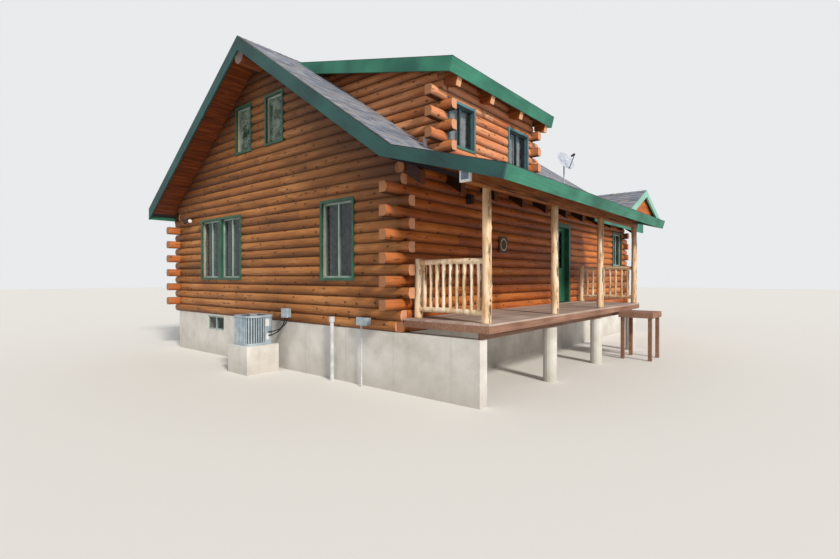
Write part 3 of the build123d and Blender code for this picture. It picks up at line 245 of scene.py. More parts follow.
def stained_logs(name, along, tones, bleach_and_top_light, roof_shade_depth, ends):
    """Stain on logs that run along X (0) or Y (1).

    bleach_and_top_light is how far sun fading and painted light on top pale their upper halves;
    roof_shade_depth how dark painted shade makes them just under the roof; ends the two tones
    of their sawn ends, which hold painted sunlight or painted shade.
    """
    material, add, place = finish(name, 0.55, Specular_IOR_Level=0.3)
    axes = add("SeparateXYZ", place)
    run = axes.outputs[along]
    span = house_width if along else house_length
    up = add("Math SUBTRACT", axes.outputs[2], ground_to_logs)
    level = add("Math DIVIDE", up, log_height)
    course = add("Math FLOOR", level)
    across = add("Math FRACT", level)
    shift = add("TexWhiteNoise", W=course, noise_dimensions="1D")
    stagger = add("Math MULTIPLY_ADD", run, 1 / log_length, shift)
    log_number = add("Math FLOOR", stagger)
    each_log = add("CombineXYZ", course, log_number)
    own_tone = add("TexWhiteNoise", each_log, noise_dimensions="3D")

    # grain 30 mm wide, as fine as the render can show, wider patches, and long drying cracks
    grain = drawn(add, place, along, (1.3, 30, 30), Detail=5.0, Roughness=0.65, Distortion=0.35)
    patches = drawn(add, place, along, (0.8, 2.5, 3.2), Detail=4.0, Roughness=0.55)
    cracks = drawn(add, place, along, (1.0, 14, 14), Detail=2.0)
    mixed = weighed(add, (own_tone, 0.2), (patches, 0.64), (grain, 0.34))
    colour = add("ValToRGB", mixed, stops=((0.34, 0.5, 0.62, 0.76), tones))

    # the upper half of a log is paler: sun fading, and painted light on its top
    top_fade_and_painted_light = add("MapRange", across, 0.35, 1.0, 0.0, bleach_and_top_light)
    # the log ends that stand out past the corners are paler: they weather most, and the tone also paints
    # sunlight on them
    near_end = add("MapRange", run, -end_reach, 0.0, 0.7, 0.0)
    far_end = add("MapRange", run, span, span + end_reach, 0.0, 0.7)
    weathered_and_sunlit_ends = add("Math ADD", near_end, far_end)
    # painted shade: the stain is darkened on the wood just under the roof, where the roof's shade falls
    side = add("Math SUBTRACT", axes.outputs[1], ridge_y)
    side = add("Math ABSOLUTE", side)
    roof_over = add("Math MULTIPLY_ADD", side, -main_slope, ridge_top)
    below_roof = add("Math SUBTRACT", roof_over, axes.outputs[2])
    painted_roof_shade = add("MapRange", below_roof, 0.25, 1.7, roof_shade_depth, 0.0)
    # painted shade on the lower third of each log, and a dark line in the groove
    painted_lower_shade = add("MapRange", across, 0.0, 0.42, 0.62, 0.0, interpolation_type="SMOOTHSTEP")
    edge = add("Math PINGPONG", across, 0.5)
    groove = add("MapRange", edge, 0.0, 0.09, 0.75, 0.0)
    # knots: one or none in each third of a metre, 30 mm across with a darker heart
    knot_run = add("Math MULTIPLY", run, knots_per_metre)
    knot_place = add("CombineXYZ", knot_run, level)
    knots = add("TexVoronoi", knot_place, Scale=1.0, voronoi_dimensions="2D")
    knot_pick = add("SeparateXYZ", knots.outputs["Color"])
    knot_there = add("Math GREATER_THAN", knot_pick, 0.5)
    knot_size = add("MapRange", knots, 0.03, 0.16, 0.9, 0.0)
    knot = add("Math MULTIPLY", knot_size, knot_there)
    # checks: the drying cracks, drawn 5 mm wide
    check = add("Math COMPARE", cracks, 0.5, 0.012)
    check_zone = add("Math GREATER_THAN", patches, 0.52)
    check = add("Math MULTIPLY", check, check_zone)
    check_tone = add("Math MULTIPLY", check, 0.5)
    # butt joints between the logs of a course
    butt = add("Math PINGPONG", stagger, 0.5)
    butt = add("Math LESS_THAN", butt, 0.0012)
    butt = add("Math MULTIPLY", butt, 0.5)
    for share, tone in (
        (top_fade_and_painted_light, "#dc9c5e"),
        (weathered_and_sunlit_ends, "#bb7447"),
        (painted_roof_shade, "#3a1806"),
        (painted_lower_shade, "#3f1d0a"),
        (groove, "#2a1409"),
        (knot, "#241006"),
        (check_tone, "#2c150a"),
        (butt, "#241208"),
    ):
        colour = add("MixRGB", share, colour, tone)

    # sawn ends: paler, with growth rings round the heart; their two tones hold painted sunlight or painted
    # shade
    facing = add("SeparateXYZ", add("NewGeometry").outputs["Normal"])
    end_on = add("Math ABSOLUTE", facing.outputs[along])
    end_face = add("Math GREATER_THAN", end_on, 0.9)
    heart = add("Math SUBTRACT", across, 0.5)
    heart = add("Math MULTIPLY", heart, log_height)
    from_heart = add("CombineXYZ", heart, axes.outputs[1 - along])
    ring_noise = add("TexNoise", place, Scale=9.0, Detail=2.0)
    radius = add("VectorMath LENGTH", from_heart).outputs["Value"]
    radius = add("Math MULTIPLY_ADD", ring_noise, 0.03, radius)
    rings = add("Math MULTIPLY", radius, 480.0)
    rings = add("Math SINE", rings)
    ring_tone = add("MapRange", rings, -1.0, 1.0, 0.1, 0.55)
    end_wood = add("MixRGB", ring_tone, *ends)
    end_wood = add("MixRGB", groove, end_wood, "#3a2012")
    colour = add("MixRGB", end_face, colour, end_wood)

    # rounds off the flats that the log face is made of, then the grain and the cracks
    flat = add("Math MULTIPLY", across, float(log_flats))
    flat = add("Math FRACT", flat)
    swell = add("Math SUBTRACT", 1.0, flat)
    round_face = add("Math SUBTRACT", 1.0, end_face)
    for factor in (flat, 4 * flat_rise, round_face):
        swell = add("Math MULTIPLY", swell, factor)
    relief = weighed(add, (swell, 1.0), (grain, 0.0016), (check, -0.003))
    return lay(material, colour, relief, 1.0, 1.0)


# End tones: paler where the sawn ends face the sun, painted sunlight, and darker where they face away,
# painted shade.
painted_shade_ends = ("#b07a55", "#7d4e30")
painted_sun_ends = ("#dfa582", "#b27550")
# One stain in four tone sets: the porch wall's are deeper and redder, painted shade under the porch roof,
# and the dormer's are paler, painted sunlight.
gable_tones = ("#552d10", "#7f4c1e", "#a06430", "#be834e")
porch_wall_shade_tones = ("#622706", "#92430c", "#b45c1a", "#cf7a2f")
dormer_sunlit_tones = ("#8f4a24", "#c06d42", "#d88b60", "#e6a57e")
dormer_side_sunlit_tones = ("#84461f", "#ad6636", "#c98251", "#db9b6d")
for name, along, tones, bleach_and_top_light, roof_shade_depth, ends, starts in (
    ("stained_gable_logs", 1, gable_tones, 0.25, 0.92, painted_sun_ends, ("near_gable", "far_gable")),
    ("stained_front_logs", 0, porch_wall_shade_tones, 0.2, 0.0, painted_shade_ends, ("front_wall", "back_wall")),
    ("stained_dormer_logs", 0, dormer_sunlit_tones, 0.25, 0.0, painted_shade_ends, ("dormer_front",)),
    ("stained_dormer_side_logs", 1, dormer_side_sunlit_tones, 0.22, 0.0, painted_sun_ends, ("dormer_side",)),
):
    walls = [node for node in nodes if node.startswith(starts)]
    coat(stained_logs(name, along, tones, bleach_and_top_light, roof_shade_depth, ends), *walls)


# Rafters, porch beam, ridge log and floors: sawn pine timbers, stained as the walls are.
# The grain runs along each timber, the cut ends are pale, and the beam has dark bark streaks.
def sawn_timber(name, along, tones, end_tone, streaks):
    """Stained sawn wood with its grain along X (0) or Y (1), and paler cut ends."""
    material, add, place = finish(name, 0.6, Specular_IOR_Level=0.3)
    grain = drawn(add, place, along, (1.6, 34, 34), Detail=5.0, Roughness=0.6, Distortion=0.3)
    colour = add("ValToRGB", grain, stops=((0.3, 0.5, 0.7), tones))
    streak = drawn(add, place, along, (0.72, 15.3, 15.3), Detail=3.0)
    streak = add("MapRange", streak, 0.56, 0.66, 0.0, streaks)
    facing = add("SeparateXYZ", add("NewGeometry").outputs["Normal"])
    end_on = add("Math ABSOLUTE", facing.outputs[along])
    end_face = add("Math GREATER_THAN", end_on, 0.75)
    for share, tone in ((streak, "#2a170c"), (end_face, end_tone)):
        colour = add("MixRGB", share, colour, tone)
    return lay(material, colour, grain, 0.5)


# The main rafters' near-black tones are painted shade under the roof, and the ridge log's greyed end tone is
# painted shade.
for name, along, tones, end_tone, streaks, timbers in (
    ("rafter_stain_painted_shade", 1, ("#1c0c06", "#33180b", "#4b2814"), "#6b3f24", 0.3, "main_rafters"),
    ("stained_dormer_rafters", 1, ("#6b3010", "#984f20", "#b96f38"), "#dca77e", 0.3, "dormer_rafters"),
    ("porch_beam_wood", 0, ("#63351a", "#8b5228", "#b27944"), "#b07c55", 0.9, "porch_beam"),
    ("ridge_log_wood", 0, ("#5d2f18", "#7c4525", "#9a5f3a"), "#6f5f5b", 0.3, "ridge_log"),
    ("pine_floor", 0, ("#8a5a32", "#a9743f", "#c39256"), "#b58b5a", 0.1, "main_floor loft_floor"),
):
    coat(sawn_timber(name, along, tones, end_tone, streaks), *timbers.split())

# Soffit boards: tongued and grooved pine under all the roofs, stained like the walls.
# Each board shows 130 mm with a small V between boards, and runs the length of the roof.
roof_build = 0.18
porch_build = 0.12
dormer_build = 0.15
kick_y = -0.374
porch_slope = 0.293
porch_front_y = -2.35
porch_end_x = 7.45
far_eave_y = -0.562
back_eave_y = 8.632
roof_near_x = -0.662
roof_far_x = 12.262
dormer_left_x = 1.03
dormer_right_x = 4.58
dormer_front_y = -0.14
dormer_roof_left_x = 0.768
dormer_roof_right_x = 4.842
dormer_eave_y = -0.492
dormer_edge_y = -0.53
dormer_eave_top = 5.757
dormer_slope = 0.2586
dormer_soffit_cut = 0.5
board_width = 0.13
board_thick = 0.012
board_bevel = 0.006
board_gap = 0.002
fascia_thick = 0.038


def main_top(y):
    return ridge_top - main_slope * abs(y - ridge_y)


def porch_top(y):
    return main_top(kick_y) - porch_slope * (kick_y - y)


def dormer_top(y):
    return dormer_eave_top + dormer_slope * (y - dormer_edge_y)


def slope_frame(corner, along, rise):
    """Frame of a roof slope: X along its eave, Y up the slope, Z out of the roof."""
    along = Vector(along).normalized()
    rise = Vector(rise).normalized()
    placed = Matrix((along, rise, along.cross(rise))).transposed().to_4x4()
    placed.translation = corner
    return placed


def roof_slope(eave_y, head_y, top, slope):
    """Frame and length of a roof slope that runs from its eave up to its head."""
    turn = 1 if head_y > eave_y else -1
    plane = slope_frame((0, eave_y, top(eave_y)), (turn, 0, 0), (0, turn, slope))
    return plane, hypot(head_y - eave_y, top(head_y) - top(eave_y))


dormer_back_y = (dormer_top(0) - main_top(0)) / (main_slope - dormer_slope)
front = roof_slope(kick_y, ridge_y, main_top, main_slope)
far_front = roof_slope(far_eave_y, ridge_y, main_top, main_slope)
back = roof_slope(back_eave_y, ridge_y, main_top, main_slope)
porch = roof_slope(porch_front_y, kick_y, porch_top, porch_slope)
dormer = roof_slope(dormer_eave_y, dormer_back_y, dormer_top, dormer_slope)


def unbroken(start, end):
    """Stretches of each strip of a slope that nothing interrupts."""
    return lambda low, high: [(start, end)]


def beside_dormer(start, end, eave_y):
    """Stretches of each strip of the front slope that the dormer leaves open."""
    flat = cos(atan(main_slope))

    def stretches(low, high):
        clear = eave_y + high * flat < dormer_front_y or eave_y + low * flat > dormer_back_y
        if clear or start > dormer_right_x:
            return [(start, end)]
        return [(start, dormer_left_x), (dormer_right_x, end)]

    return stretches


def joined(rows, looped=False):
    """A surface through rows of points, each row joined to the next, and capped unless looped."""
    count = len(rows[0])
    points = [Vector(p) for row in rows for p in row]
    faces = []
    for r in range(len(rows) if looped else len(rows) - 1):
        here = r * count
        there = (r + 1) % len(rows) * count
        for n in range(count):
            m = (n + 1) % count
            faces.append([here + n, here + m, there + m, there + n])
    if not looped:
        faces += [list(range(count - 1, -1, -1)), list(range(len(points) - count, len(points)))]
    return points, faces


def board_below(plane, left, right, low, high, under):
    """One board on the underside of a roof slab `under` thick, with bevelled lower edges."""
    shoulder = -under - board_thick + board_bevel
    section = (
        (low, -under),
        (high, -under),
        (high, shoulder),
        (high - board_bevel, -under - board_thick),
        (low + board_bevel, -under - board_thick),
        (low, shoulder),
    )
    return joined([[plane @ Vector((x, s, h)) for s, h in section] for x in (right, left)])


dormer_soffit = (dormer[0], dormer[1] - dormer_soffit_cut)
soffits = []
for (plane, length), under, open_at in (
    (front, roof_build, beside_dormer(roof_near_x, porch_end_x, kick_y)),
    (far_front, roof_build, beside_dormer(porch_end_x, roof_far_x, far_eave_y)),
    (back, roof_build, unbroken(-roof_far_x, -roof_near_x)),
    (porch, porch_build, unbroken(roof_near_x, porch_end_x - fascia_thick)),
    (dormer_soffit, dormer_build, unbroken(dormer_roof_left_x, dormer_roof_right_x)),
):
    for n in range(int(length / board_width)):
        low = n * board_width
        high = low + board_width
        for start, end in open_at(low, high):
            soffits.append(board_below(plane, start, end, low + board_gap / 2, high - board_gap / 2, under))
soffit_wood = sawn_timber("soffit_board_wood", 0, ("#4a1e09", "#6f3210", "#8d4a1d"), "#b0774f", 0.35)
piece("soffit_boards", soffits, soffit_wood)


# Roof slabs under the shingles: sheathing nailed to the rafters, with roofing felt over it.
# Only dull dark edges of them show, between the soffit boards and the shingles.
def clouded(name, dark, light, roughness, metallic=0.0, spread=(0.35, 0.7), relief=0.0, **look):
    """A plain surface, mottled softly from a dark tone to a light one, even or with a relief."""
    material, add, place = finish(name, roughness, metallic)
    mottle = add("TexNoise", place, **{"Detail": 3.0, **look})
    colour = add("ValToRGB", mottle, stops=(spread, (dark, light)))
    return lay(material, colour, mottle if relief else None, relief)


slab_felt = clouded("roof_felt", "#2b2627", "#3a3435", 0.9, spread=(0.35, 0.65), Scale=40.0, Detail=4.0)
coat(slab_felt, "main_roof_front", "main_roof_back", "porch_roof", "dormer_roof", "entry_gable_roof")

# Shingles: laminated asphalt strips in courses of 143 mm, nailed from the eave up.
# Grey-violet granules with brown tabs among them; every tab has its own width, lift and tone.
exposure = 0.143
course_lap = 0.03
edge_gap = 0.03
tab_lift = 0.009
tab_low = 0.12
tab_high = 0.3
tab_least = 0.01
tab_tail = 0.002
tab_wander = 0.004
asphalt, add, place = finish("asphalt_shingle", 0.92)
own = add("NewGeometry").outputs["Random Per Island"]
weather = add("TexNoise", place, Scale=0.9, Detail=5.0, Roughness=0.6)
mixed = weighed(add, (own, 0.62), (weather, 0.5))
tab_tones = ("#747a89", "#868d9d", "#989fae", "#9d9a9a", "#a8adba")
colour = add("ValToRGB", mixed, stops=((0.22, 0.42, 0.58, 0.72, 0.9), tab_tones))
granules = add("TexNoise", place, Scale=150.0, Detail=2.0)
granule_tone = add("MapRange", granules, 0.3, 0.7, 0.0, 0.5)
colour = add("MixRGB", granule_tone, colour, "#4a4449", blend_type="MULTIPLY")
lay(asphalt, colour, granules, 0.5)


def shingle_courses(plane, length, open_at, seed):
    """Courses of tabs up a slope; open_at tells where a course from low to high may lie."""
    chance = Random(seed)
    shapes = []
    for n in range(ceil(length / exposure)):
        low = n * exposure
        high = min(low + exposure + course_lap, length)
        for start, end in open_at(low, min(low + exposure, length)):
            x = start - chance.uniform(0, tab_high)
            while x < end:
                wide = chance.uniform(tab_low, tab_high)
                left = max(x, start)
                right = min(x + wide, end)
                x += wide
                if right - left < tab_least:
                    continue
                lift = tab_lift * chance.choice((0.65, 1.0, 1.25))
                foot = low + (chance.uniform(-tab_wander, tab_wander) if n else 0)
                edge = (
                    (left, foot, 0),
                    (right, foot, 0),
                    (right, foot, lift),
                    (left, foot, lift),
                    (right, high, tab_tail),
                    (left, high, tab_tail),
                )
                faces = [[0, 1, 2, 3], [3, 2, 4, 5], [0, 3, 5], [1, 4, 2]]
                shapes.append(([plane @ Vector(p) for p in edge], faces))
    return shapes


front_tabs = shingle_courses(*front, beside_dormer(roof_near_x + edge_gap, porch_end_x, kick_y), 11)
front_tabs += shingle_courses(*far_front, beside_dormer(porch_end_x, roof_far_x - edge_gap, far_eave_y), 12)
piece("front_shingles", front_tabs, asphalt)
for name, slope, start, end, seed in (
    ("back_shingles", back, -roof_far_x, -roof_near_x, 13),
    ("porch_shingles", porch, roof_near_x, porch_end_x, 14),
    ("dormer_shingles", dormer, dormer_roof_left_x, dormer_roof_right_x, 15),
):
    tabs = shingle_courses(*slope, unbroken(start + edge_gap, end - edge_gap), seed)
    piece(name, tabs, asphalt)

# Entry gable shingles: the same strips on its two small slopes, which run back into the porch
# roof. Each course is cut off along the valley where the roofs meet.
entry_centre = 5.755
entry_half = 1.2
entry_slope = 0.464
porch_edge_y = -2.388
entry_foot = porch_top(porch_edge_y)
entry_peak = entry_foot + entry_slope * entry_half
entry_length = hypot(entry_half, entry_slope * entry_half)
entry_overhang = 0.02
entry_front_y = porch_front_y - entry_overhang
valley_lap = 0.02


def valley_y(height):
    """Where the porch roof reaches a height."""
    return kick_y - (main_top(kick_y) - height) / porch_slope


def before_valley(sign):
    """Stretches from the front edge to the valley, on the slope to the right (1) or left (-1)."""

    def stretches(low, high):
        back_y = valley_y(entry_foot + (low + high) / 2 * sin(atan(entry_slope))) + valley_lap
        return [(entry_front_y, back_y)] if sign > 0 else [(-back_y, -entry_front_y)]

    return stretches


entry_tabs = []
for sign in (-1, 1):
    corner = (entry_centre + sign * entry_half, 0, entry_foot)
    plane = slope_frame(corner, (0, sign, 0), (-sign, 0, entry_slope))
    entry_tabs += shingle_courses(plane, entry_length, before_valley(sign), 16 + sign)
piece("entry_shingles", entry_tabs, asphalt)

# Ridge caps: single shingles bent over the ridge and lapped from the far end to the near one.
# They are nailed last, over the top courses of both slopes.
cap_half = 0.14
entry_cap_half = 0.13
cap_lift = 0.016
cap_tuck = 0.007
cap_thick = 0.012
cap_spring = 0.002


def ridge_caps(start, end, along, peak, slope, half):
    """Caps along a ridge from start to end; `along` is the ridge's direction, peak a point on it."""
    along = Vector(along)
    side = Vector((-along.y, along.x, 0))
    count = int((end - start) / exposure)
    pitch = (end - start) / count
    shapes = []
    for n in range(count):
        low = start + n * pitch
        for s in (-1, 1):
            points = [
                Vector(peak) + along * place + side * s * reach + Vector((0, 0, lift - drop))
                for place, lift in ((low, cap_lift), (low + pitch + course_lap, cap_tuck))
                for reach, drop in ((0.0, 0.0), (half, slope * half - cap_spring))
            ]
            points += [p - Vector((0, 0, cap_thick)) for p in points[:2]]
            faces = [[0, 1, 3, 2], [0, 4, 5, 1]]
            shapes.append((points, faces if s > 0 else [face[::-1] for face in faces]))
    return shapes


entry_ridge = (entry_centre, 0, entry_peak)
caps = ridge_caps(roof_near_x, roof_far_x, (1, 0, 0), (0, ridge_y, ridge_top), main_slope, cap_half)
caps += ridge_caps(entry_front_y, valley_y(entry_peak), (0, 1, 0), entry_ridge, entry_slope, entry_cap_half)
piece("ridge_caps", caps, asphalt)

# Drip edge: thin black steel folded over the top of every rake and eave board.
# Roll-formed, painted and nailed under the shingles' edges; it shows as a dark satin line.
drip_wide = 0.07
drip_thick = 0.011
near_x = -0.7
far_x = 12.3
eave_front_y = -0.6
back_edge_y = 8.67
dormer_near_x = 0.73
dormer_far_x = 4.88


def bar(start, end, width, thick, out):
    """A flat bar from start to end; width is the vector across it, thick its depth along `out`."""
    width = Vector(width)
    out = Vector(out).normalized() * thick
    return joined([[p, p + width, p + width + out, p + out] for p in (Vector(end), Vector(start))])


drips = [
    bar((x, a, top(a)), (x, b, top(b)), (wide, 0, 0), drip_thick, (0, -slope, 1))
    for x, a, b, top, slope, wide in (
        (near_x, ridge_y, kick_y, main_top, main_slope, drip_wide),
        (near_x, kick_y, porch_edge_y, porch_top, porch_slope, drip_wide),
        (near_x, ridge_y, back_edge_y, main_top, -main_slope, drip_wide),
        (far_x, ridge_y, eave_front_y, main_top, main_slope, -drip_wide),
        (far_x, ridge_y, back_edge_y, main_top, -main_slope, -drip_wide),
        (porch_end_x, porch_edge_y, eave_front_y, porch_top, porch_slope, -drip_wide),
        (dormer_near_x, dormer_edge_y, dormer_back_y, dormer_top, dormer_slope, drip_wide),
        (dormer_far_x, dormer_edge_y, dormer_back_y, dormer_top, dormer_slope, -drip_wide),
    )
]
drips += [
    bar((a, y, top(y)), (b, y, top(y)), (0, wide, drip_wide * slope), drip_thick, (0, 0, 1))
    for a, b, y, top, slope, wide in (
        (near_x, porch_end_x, porch_edge_y, porch_top, porch_slope, drip_wide),
        (porch_end_x, far_x, eave_front_y, main_top, main_slope, drip_wide),
        (near_x, far_x, back_edge_y, main_top, main_slope, -drip_wide),
        (dormer_near_x, dormer_far_x, dormer_edge_y, dormer_top, dormer_slope, drip_wide),
    )
]
drip_steel = clouded("black_drip_edge", "#121313", "#26282a", 0.45, spread=(0.4, 0.7), Scale=6.0, Detail=4.0)
piece("drip_edges", drips, drip_steel)


# Rake, eave, fascia and dormer boards: rough-sawn cedar under green paint.
# The saw lines show through the paint along each board, and soft lighter patches on it are painted dappled
# sunlight.
def green_paint(name, deep, fair, line, across):
    """Opaque green stain whose saw lines run along `line`."""
    material, add, place = finish(name, 0.6)
    axes = add("SeparateXYZ", place)
    half = add("Math SUBTRACT", axes.outputs[1], ridge_y)
    half = add("Math ABSOLUTE", half)
    folded = add("CombineXYZ", axes.outputs[0], half, axes.outputs[2])
    reaches = []
    for direction, scale in ((across, 130.0), (line, 1.5)):
        reach = Vector(direction).normalized() * scale
        reaches.append(add("VectorMath DOT_PRODUCT", folded, reach).outputs["Value"])
    saw_place = add("CombineXYZ", *reaches)
    saw = add("TexNoise", saw_place, Scale=1.0, Detail=3.0, Roughness=0.6)
    # soft lighter patches: painted dappled sunlight
    painted_dapple = add("TexNoise", place, Scale=1.1, Detail=4.0, Roughness=0.5)
    mixed = weighed(add, (saw, 0.35), (painted_dapple, 0.75))
    colour = add("ValToRGB", mixed, stops=((0.42, 0.68), (deep, fair)))
    return lay(material, colour, saw, 0.5)


rake_paint = green_paint("green_rake_paint", "#0c3333", "#235653", (0, -1, main_slope), (0, main_slope, 1))
fascia_paint = green_paint("green_fascia_paint", "#17594a", "#3a8a70", (1, 0, 0), (0, 1, 0))
pale_paint = green_paint("pale_green_paint", "#6fa79a", "#93c4b4", (1, 0, 0), (0, 1, 0))
coat(rake_paint, "rake_boards")
coat(fascia_paint, "eave_boards", "porch_fascia", "dormer_trim")
coat(pale_paint, "entry_gable_trim")
gable_board_wood = sawn_timber("entry_gable_wood", 0, ("#8f4413", "#b25f22", "#c97b3a"), "#c08a5a", 0.2)
coat(gable_board_wood, "entry_gable_boards")

# Deck boards: 140 mm planks along the house with 6 mm gaps, on a brown stained rim and joists.
# Walked grey-brown on top; the rim boards in front keep more of their red-brown stain.
plank_width = 0.14
plank_gap = 0.006
plank_length = 3.66
plank_least = 0.1
deck_low, deck_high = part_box("deck_boards")


def upright(corners, low, high):
    """A prism over a plan outline, which may run either way round."""
    turned = sum(a[0] * b[1] - b[0] * a[1] for a, b in zip(corners, corners[1:] + corners[:1]))
    if turned < 0:
        corners = corners[::-1]
    return joined([[(x, y, z) for x, y in corners] for z in (low, high)])


def rectangle(left, right, low, high):
    """The corners of an upright rectangle in plan."""
    return [(left, low), (right, low), (right, high), (left, high)]


def planks(low, high, width, gap, length, seed):
    """Planks along X with small gaps, in lengths that break at different places."""
    chance = Random(seed)
    shapes = []
    rows = round((high.y - low.y + gap) / (width + gap))
    pitch = (high.y - low.y + gap) / rows
    for n in range(rows):
        y = low.y + n * pitch
        x = low.x - chance.uniform(0, 0.8) * length
        while x < high.x:
            left = max(x, low.x)
            right = min(x + length, high.x) - (gap / 2 if x + length < high.x else 0)
            x += length
            if right - left >= plank_least:
                shapes.append(upright(rectangle(left, right, y, y + pitch - gap), low.z, high.z))
    return shapes


def deck_stain(name, tones, spread):
    """Solid deck stain, worn to grey where it is walked on, each plank a little different."""
    material, add, place = finish(name, 0.75)
    grain = drawn(add, place, 0, (1.5, 30, 30), Detail=4.0)
    wear = add("TexNoise", place, Scale=1.2, Detail=4.0)
    own = add("NewGeometry").outputs["Random Per Island"]
    mixed = weighed(add, (own, spread), (grain, 0.4), (wear, 0.5))
    colour = add("ValToRGB", mixed, stops=((0.35, 0.55, 0.75), tones))
    return lay(material, colour, grain, 0.5)


deck_top_stain = deck_stain("walked_deck_stain", ("#8a766b", "#aa968a", "#c5b5aa"), 0.2)
rim_stain = deck_stain("rim_board_stain", ("#77523f", "#9b7561", "#b69684"), 0.0)
laid_planks = planks(deck_low, deck_high, plank_width, plank_gap, plank_length, 21)
deck_planks = piece("deck_planks", laid_planks, deck_top_stain)
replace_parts(deck_planks, "deck_boards")
coat(rim_stain, "deck_frame", "entry_step")

# Porch posts: whole peeled logs with a crook in each, cut branch stubs and strips of dark bark.
# Cream where the drawknife took the bark, honey-brown where the inner bark stayed.
peeled, add, place = finish("peeled_pine", 0.5)
skin = drawn(add, place, 0, (14, 14, 2.2), Detail=5.0, Roughness=0.6)
peeled_tones = ("#bd9468", "#e0c39c", "#f4e6cc", "#fcf5e6")
colour = add("ValToRGB", skin, stops=((0.3, 0.43, 0.56, 0.7), peeled_tones))
bark_noise = drawn(add, place, 0, (17, 17, 3.5), Detail=6.0, Roughness=0.7)
bark = add("MapRange", bark_noise, 0.62, 0.68, 0.0, 0.85)
spot = add("TexVoronoi", place, Scale=5.5)
spot = add("MapRange", spot, 0.05, 0.14, 0.85, 0.0)
# some poles kept more of the inner bark, and a strip of bark was left down the weather side
skin_point = add("NewGeometry")
honey = add("Math MULTIPLY", skin_point.outputs["Random Per Island"], 0.36)
rain_side = Vector((-0.25, -0.97, 0.0))
weather_side = add("VectorMath DOT_PRODUCT", skin_point.outputs["Normal"], rain_side)
weather_side = add("MapRange", weather_side.outputs["Value"], 0.86, 0.96)
strip_bark = add("MapRange", bark_noise, 0.46, 0.56, 0.0, 0.9)
bark_strip = add("Math MULTIPLY", weather_side, strip_bark)
# painted shade: the tops of the posts are darkened to honey-brown, where the roof's shade falls
painted_post_top_shade = add("MapRange", add("SeparateXYZ", place).outputs[2], 2.75, 3.0, 0.0, 0.55)
for share, tone, blend in (
    (bark, "#3d2512", "MIX"),
    (spot, "#6b3d1c", "MIX"),
    (honey, "#e2ac68", "MULTIPLY"),
    (bark_strip, "#34261c", "MIX"),
    (painted_post_top_shade, "#8f6630", "MIX"),
):
    colour = add("MixRGB", share, colour, tone, blend_type=blend)
lay(peeled, colour, skin, 0.6, 0.004)

post_places = (0.01, 2.36, 4.77, 7.34)
post_line = 1.668
post_radius = 0.07
post_levels = 5
deck_top = deck_high.z
post_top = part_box("porch_posts")[1].z
stub_length = 0.035
stub_angle_width = 0.28


def pole(path, radii, sides, rings, seed, knots=0, rough=0.03):
    """A peeled pole along a polyline, with a wavy skin and a few branch stubs."""
    chance = Random(seed)
    path = [Vector(p) for p in path]
    reach = path[-1] - path[0]
    line = reach.normalized()
    side = line.orthogonal().normalized()
    other = line.cross(side)
    stubs = [
        (chance.uniform(0.08, 0.92), chance.uniform(0, 2 * pi), chance.uniform(0.5, 1.0))
        for _ in range(knots)
    ]
    rows = []
    for ring in range(rings + 1):
        share = ring / rings
        step = share * (len(path) - 1)
        k = min(int(step), len(path) - 2)
        middle = path[k].lerp(path[k + 1], step - k)
        radius = radii[k] + (radii[k + 1] - radii[k]) * (step - k)
        row = []
        for n in range(sides):
            angle = 2 * pi * n / sides
            out = side * cos(angle) + other * sin(angle)
            wave = noise.noise(Vector((out.x * 1.3, out.y * 1.3, share * 9 + seed)))
            swell = 1 + rough * wave * 2
            for stub_share, stub_angle, size in stubs:
                along = (share - stub_share) * reach.length / stub_length
                round_by = ((angle - stub_angle + pi) % (2 * pi) - pi) / stub_angle_width
                swell += 0.3 * size * exp(-(along * along + round_by * round_by))
            row.append(middle + out * radius * swell)
        rows.append(row)
    return joined(rows)


posts = []
for n, x in enumerate(post_places):
    path = []
    radii = []
    for k in range(post_levels + 1):
        bend_x = 0.009 * sin(2.3 * n + 1.7 * k)
        bend_y = 0.008 * cos(1.9 * n + 1.3 * k)
        path.append((x + bend_x, bend_y - post_line, deck_top + (post_top - deck_top) * k / post_levels))
        radii.append(post_radius * (1.04 - 0.12 * k / post_levels + 0.04 * sin(5 * n + 2.1 * k)))
    posts.append(pole(path, radii, 28, 90, 31 + n, knots=5))
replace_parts(piece("peeled_posts", posts, peeled, smooth=True), "porch_posts")

# Porch end railings: a newel by the wall, two peeled rails and crooked branch balusters
# tenoned into them; the first and last balusters are thicker.
newel_radius = 0.072
newel_setback = 0.265
newel_height = 0.985
near_newel_x = 0.136
low_rail = deck_top + 0.15
high_rail = deck_top + 0.92
rail_radius = 0.046
rail_bow = 0.007
end_baluster_radius = 0.04
baluster_lean = 0.014


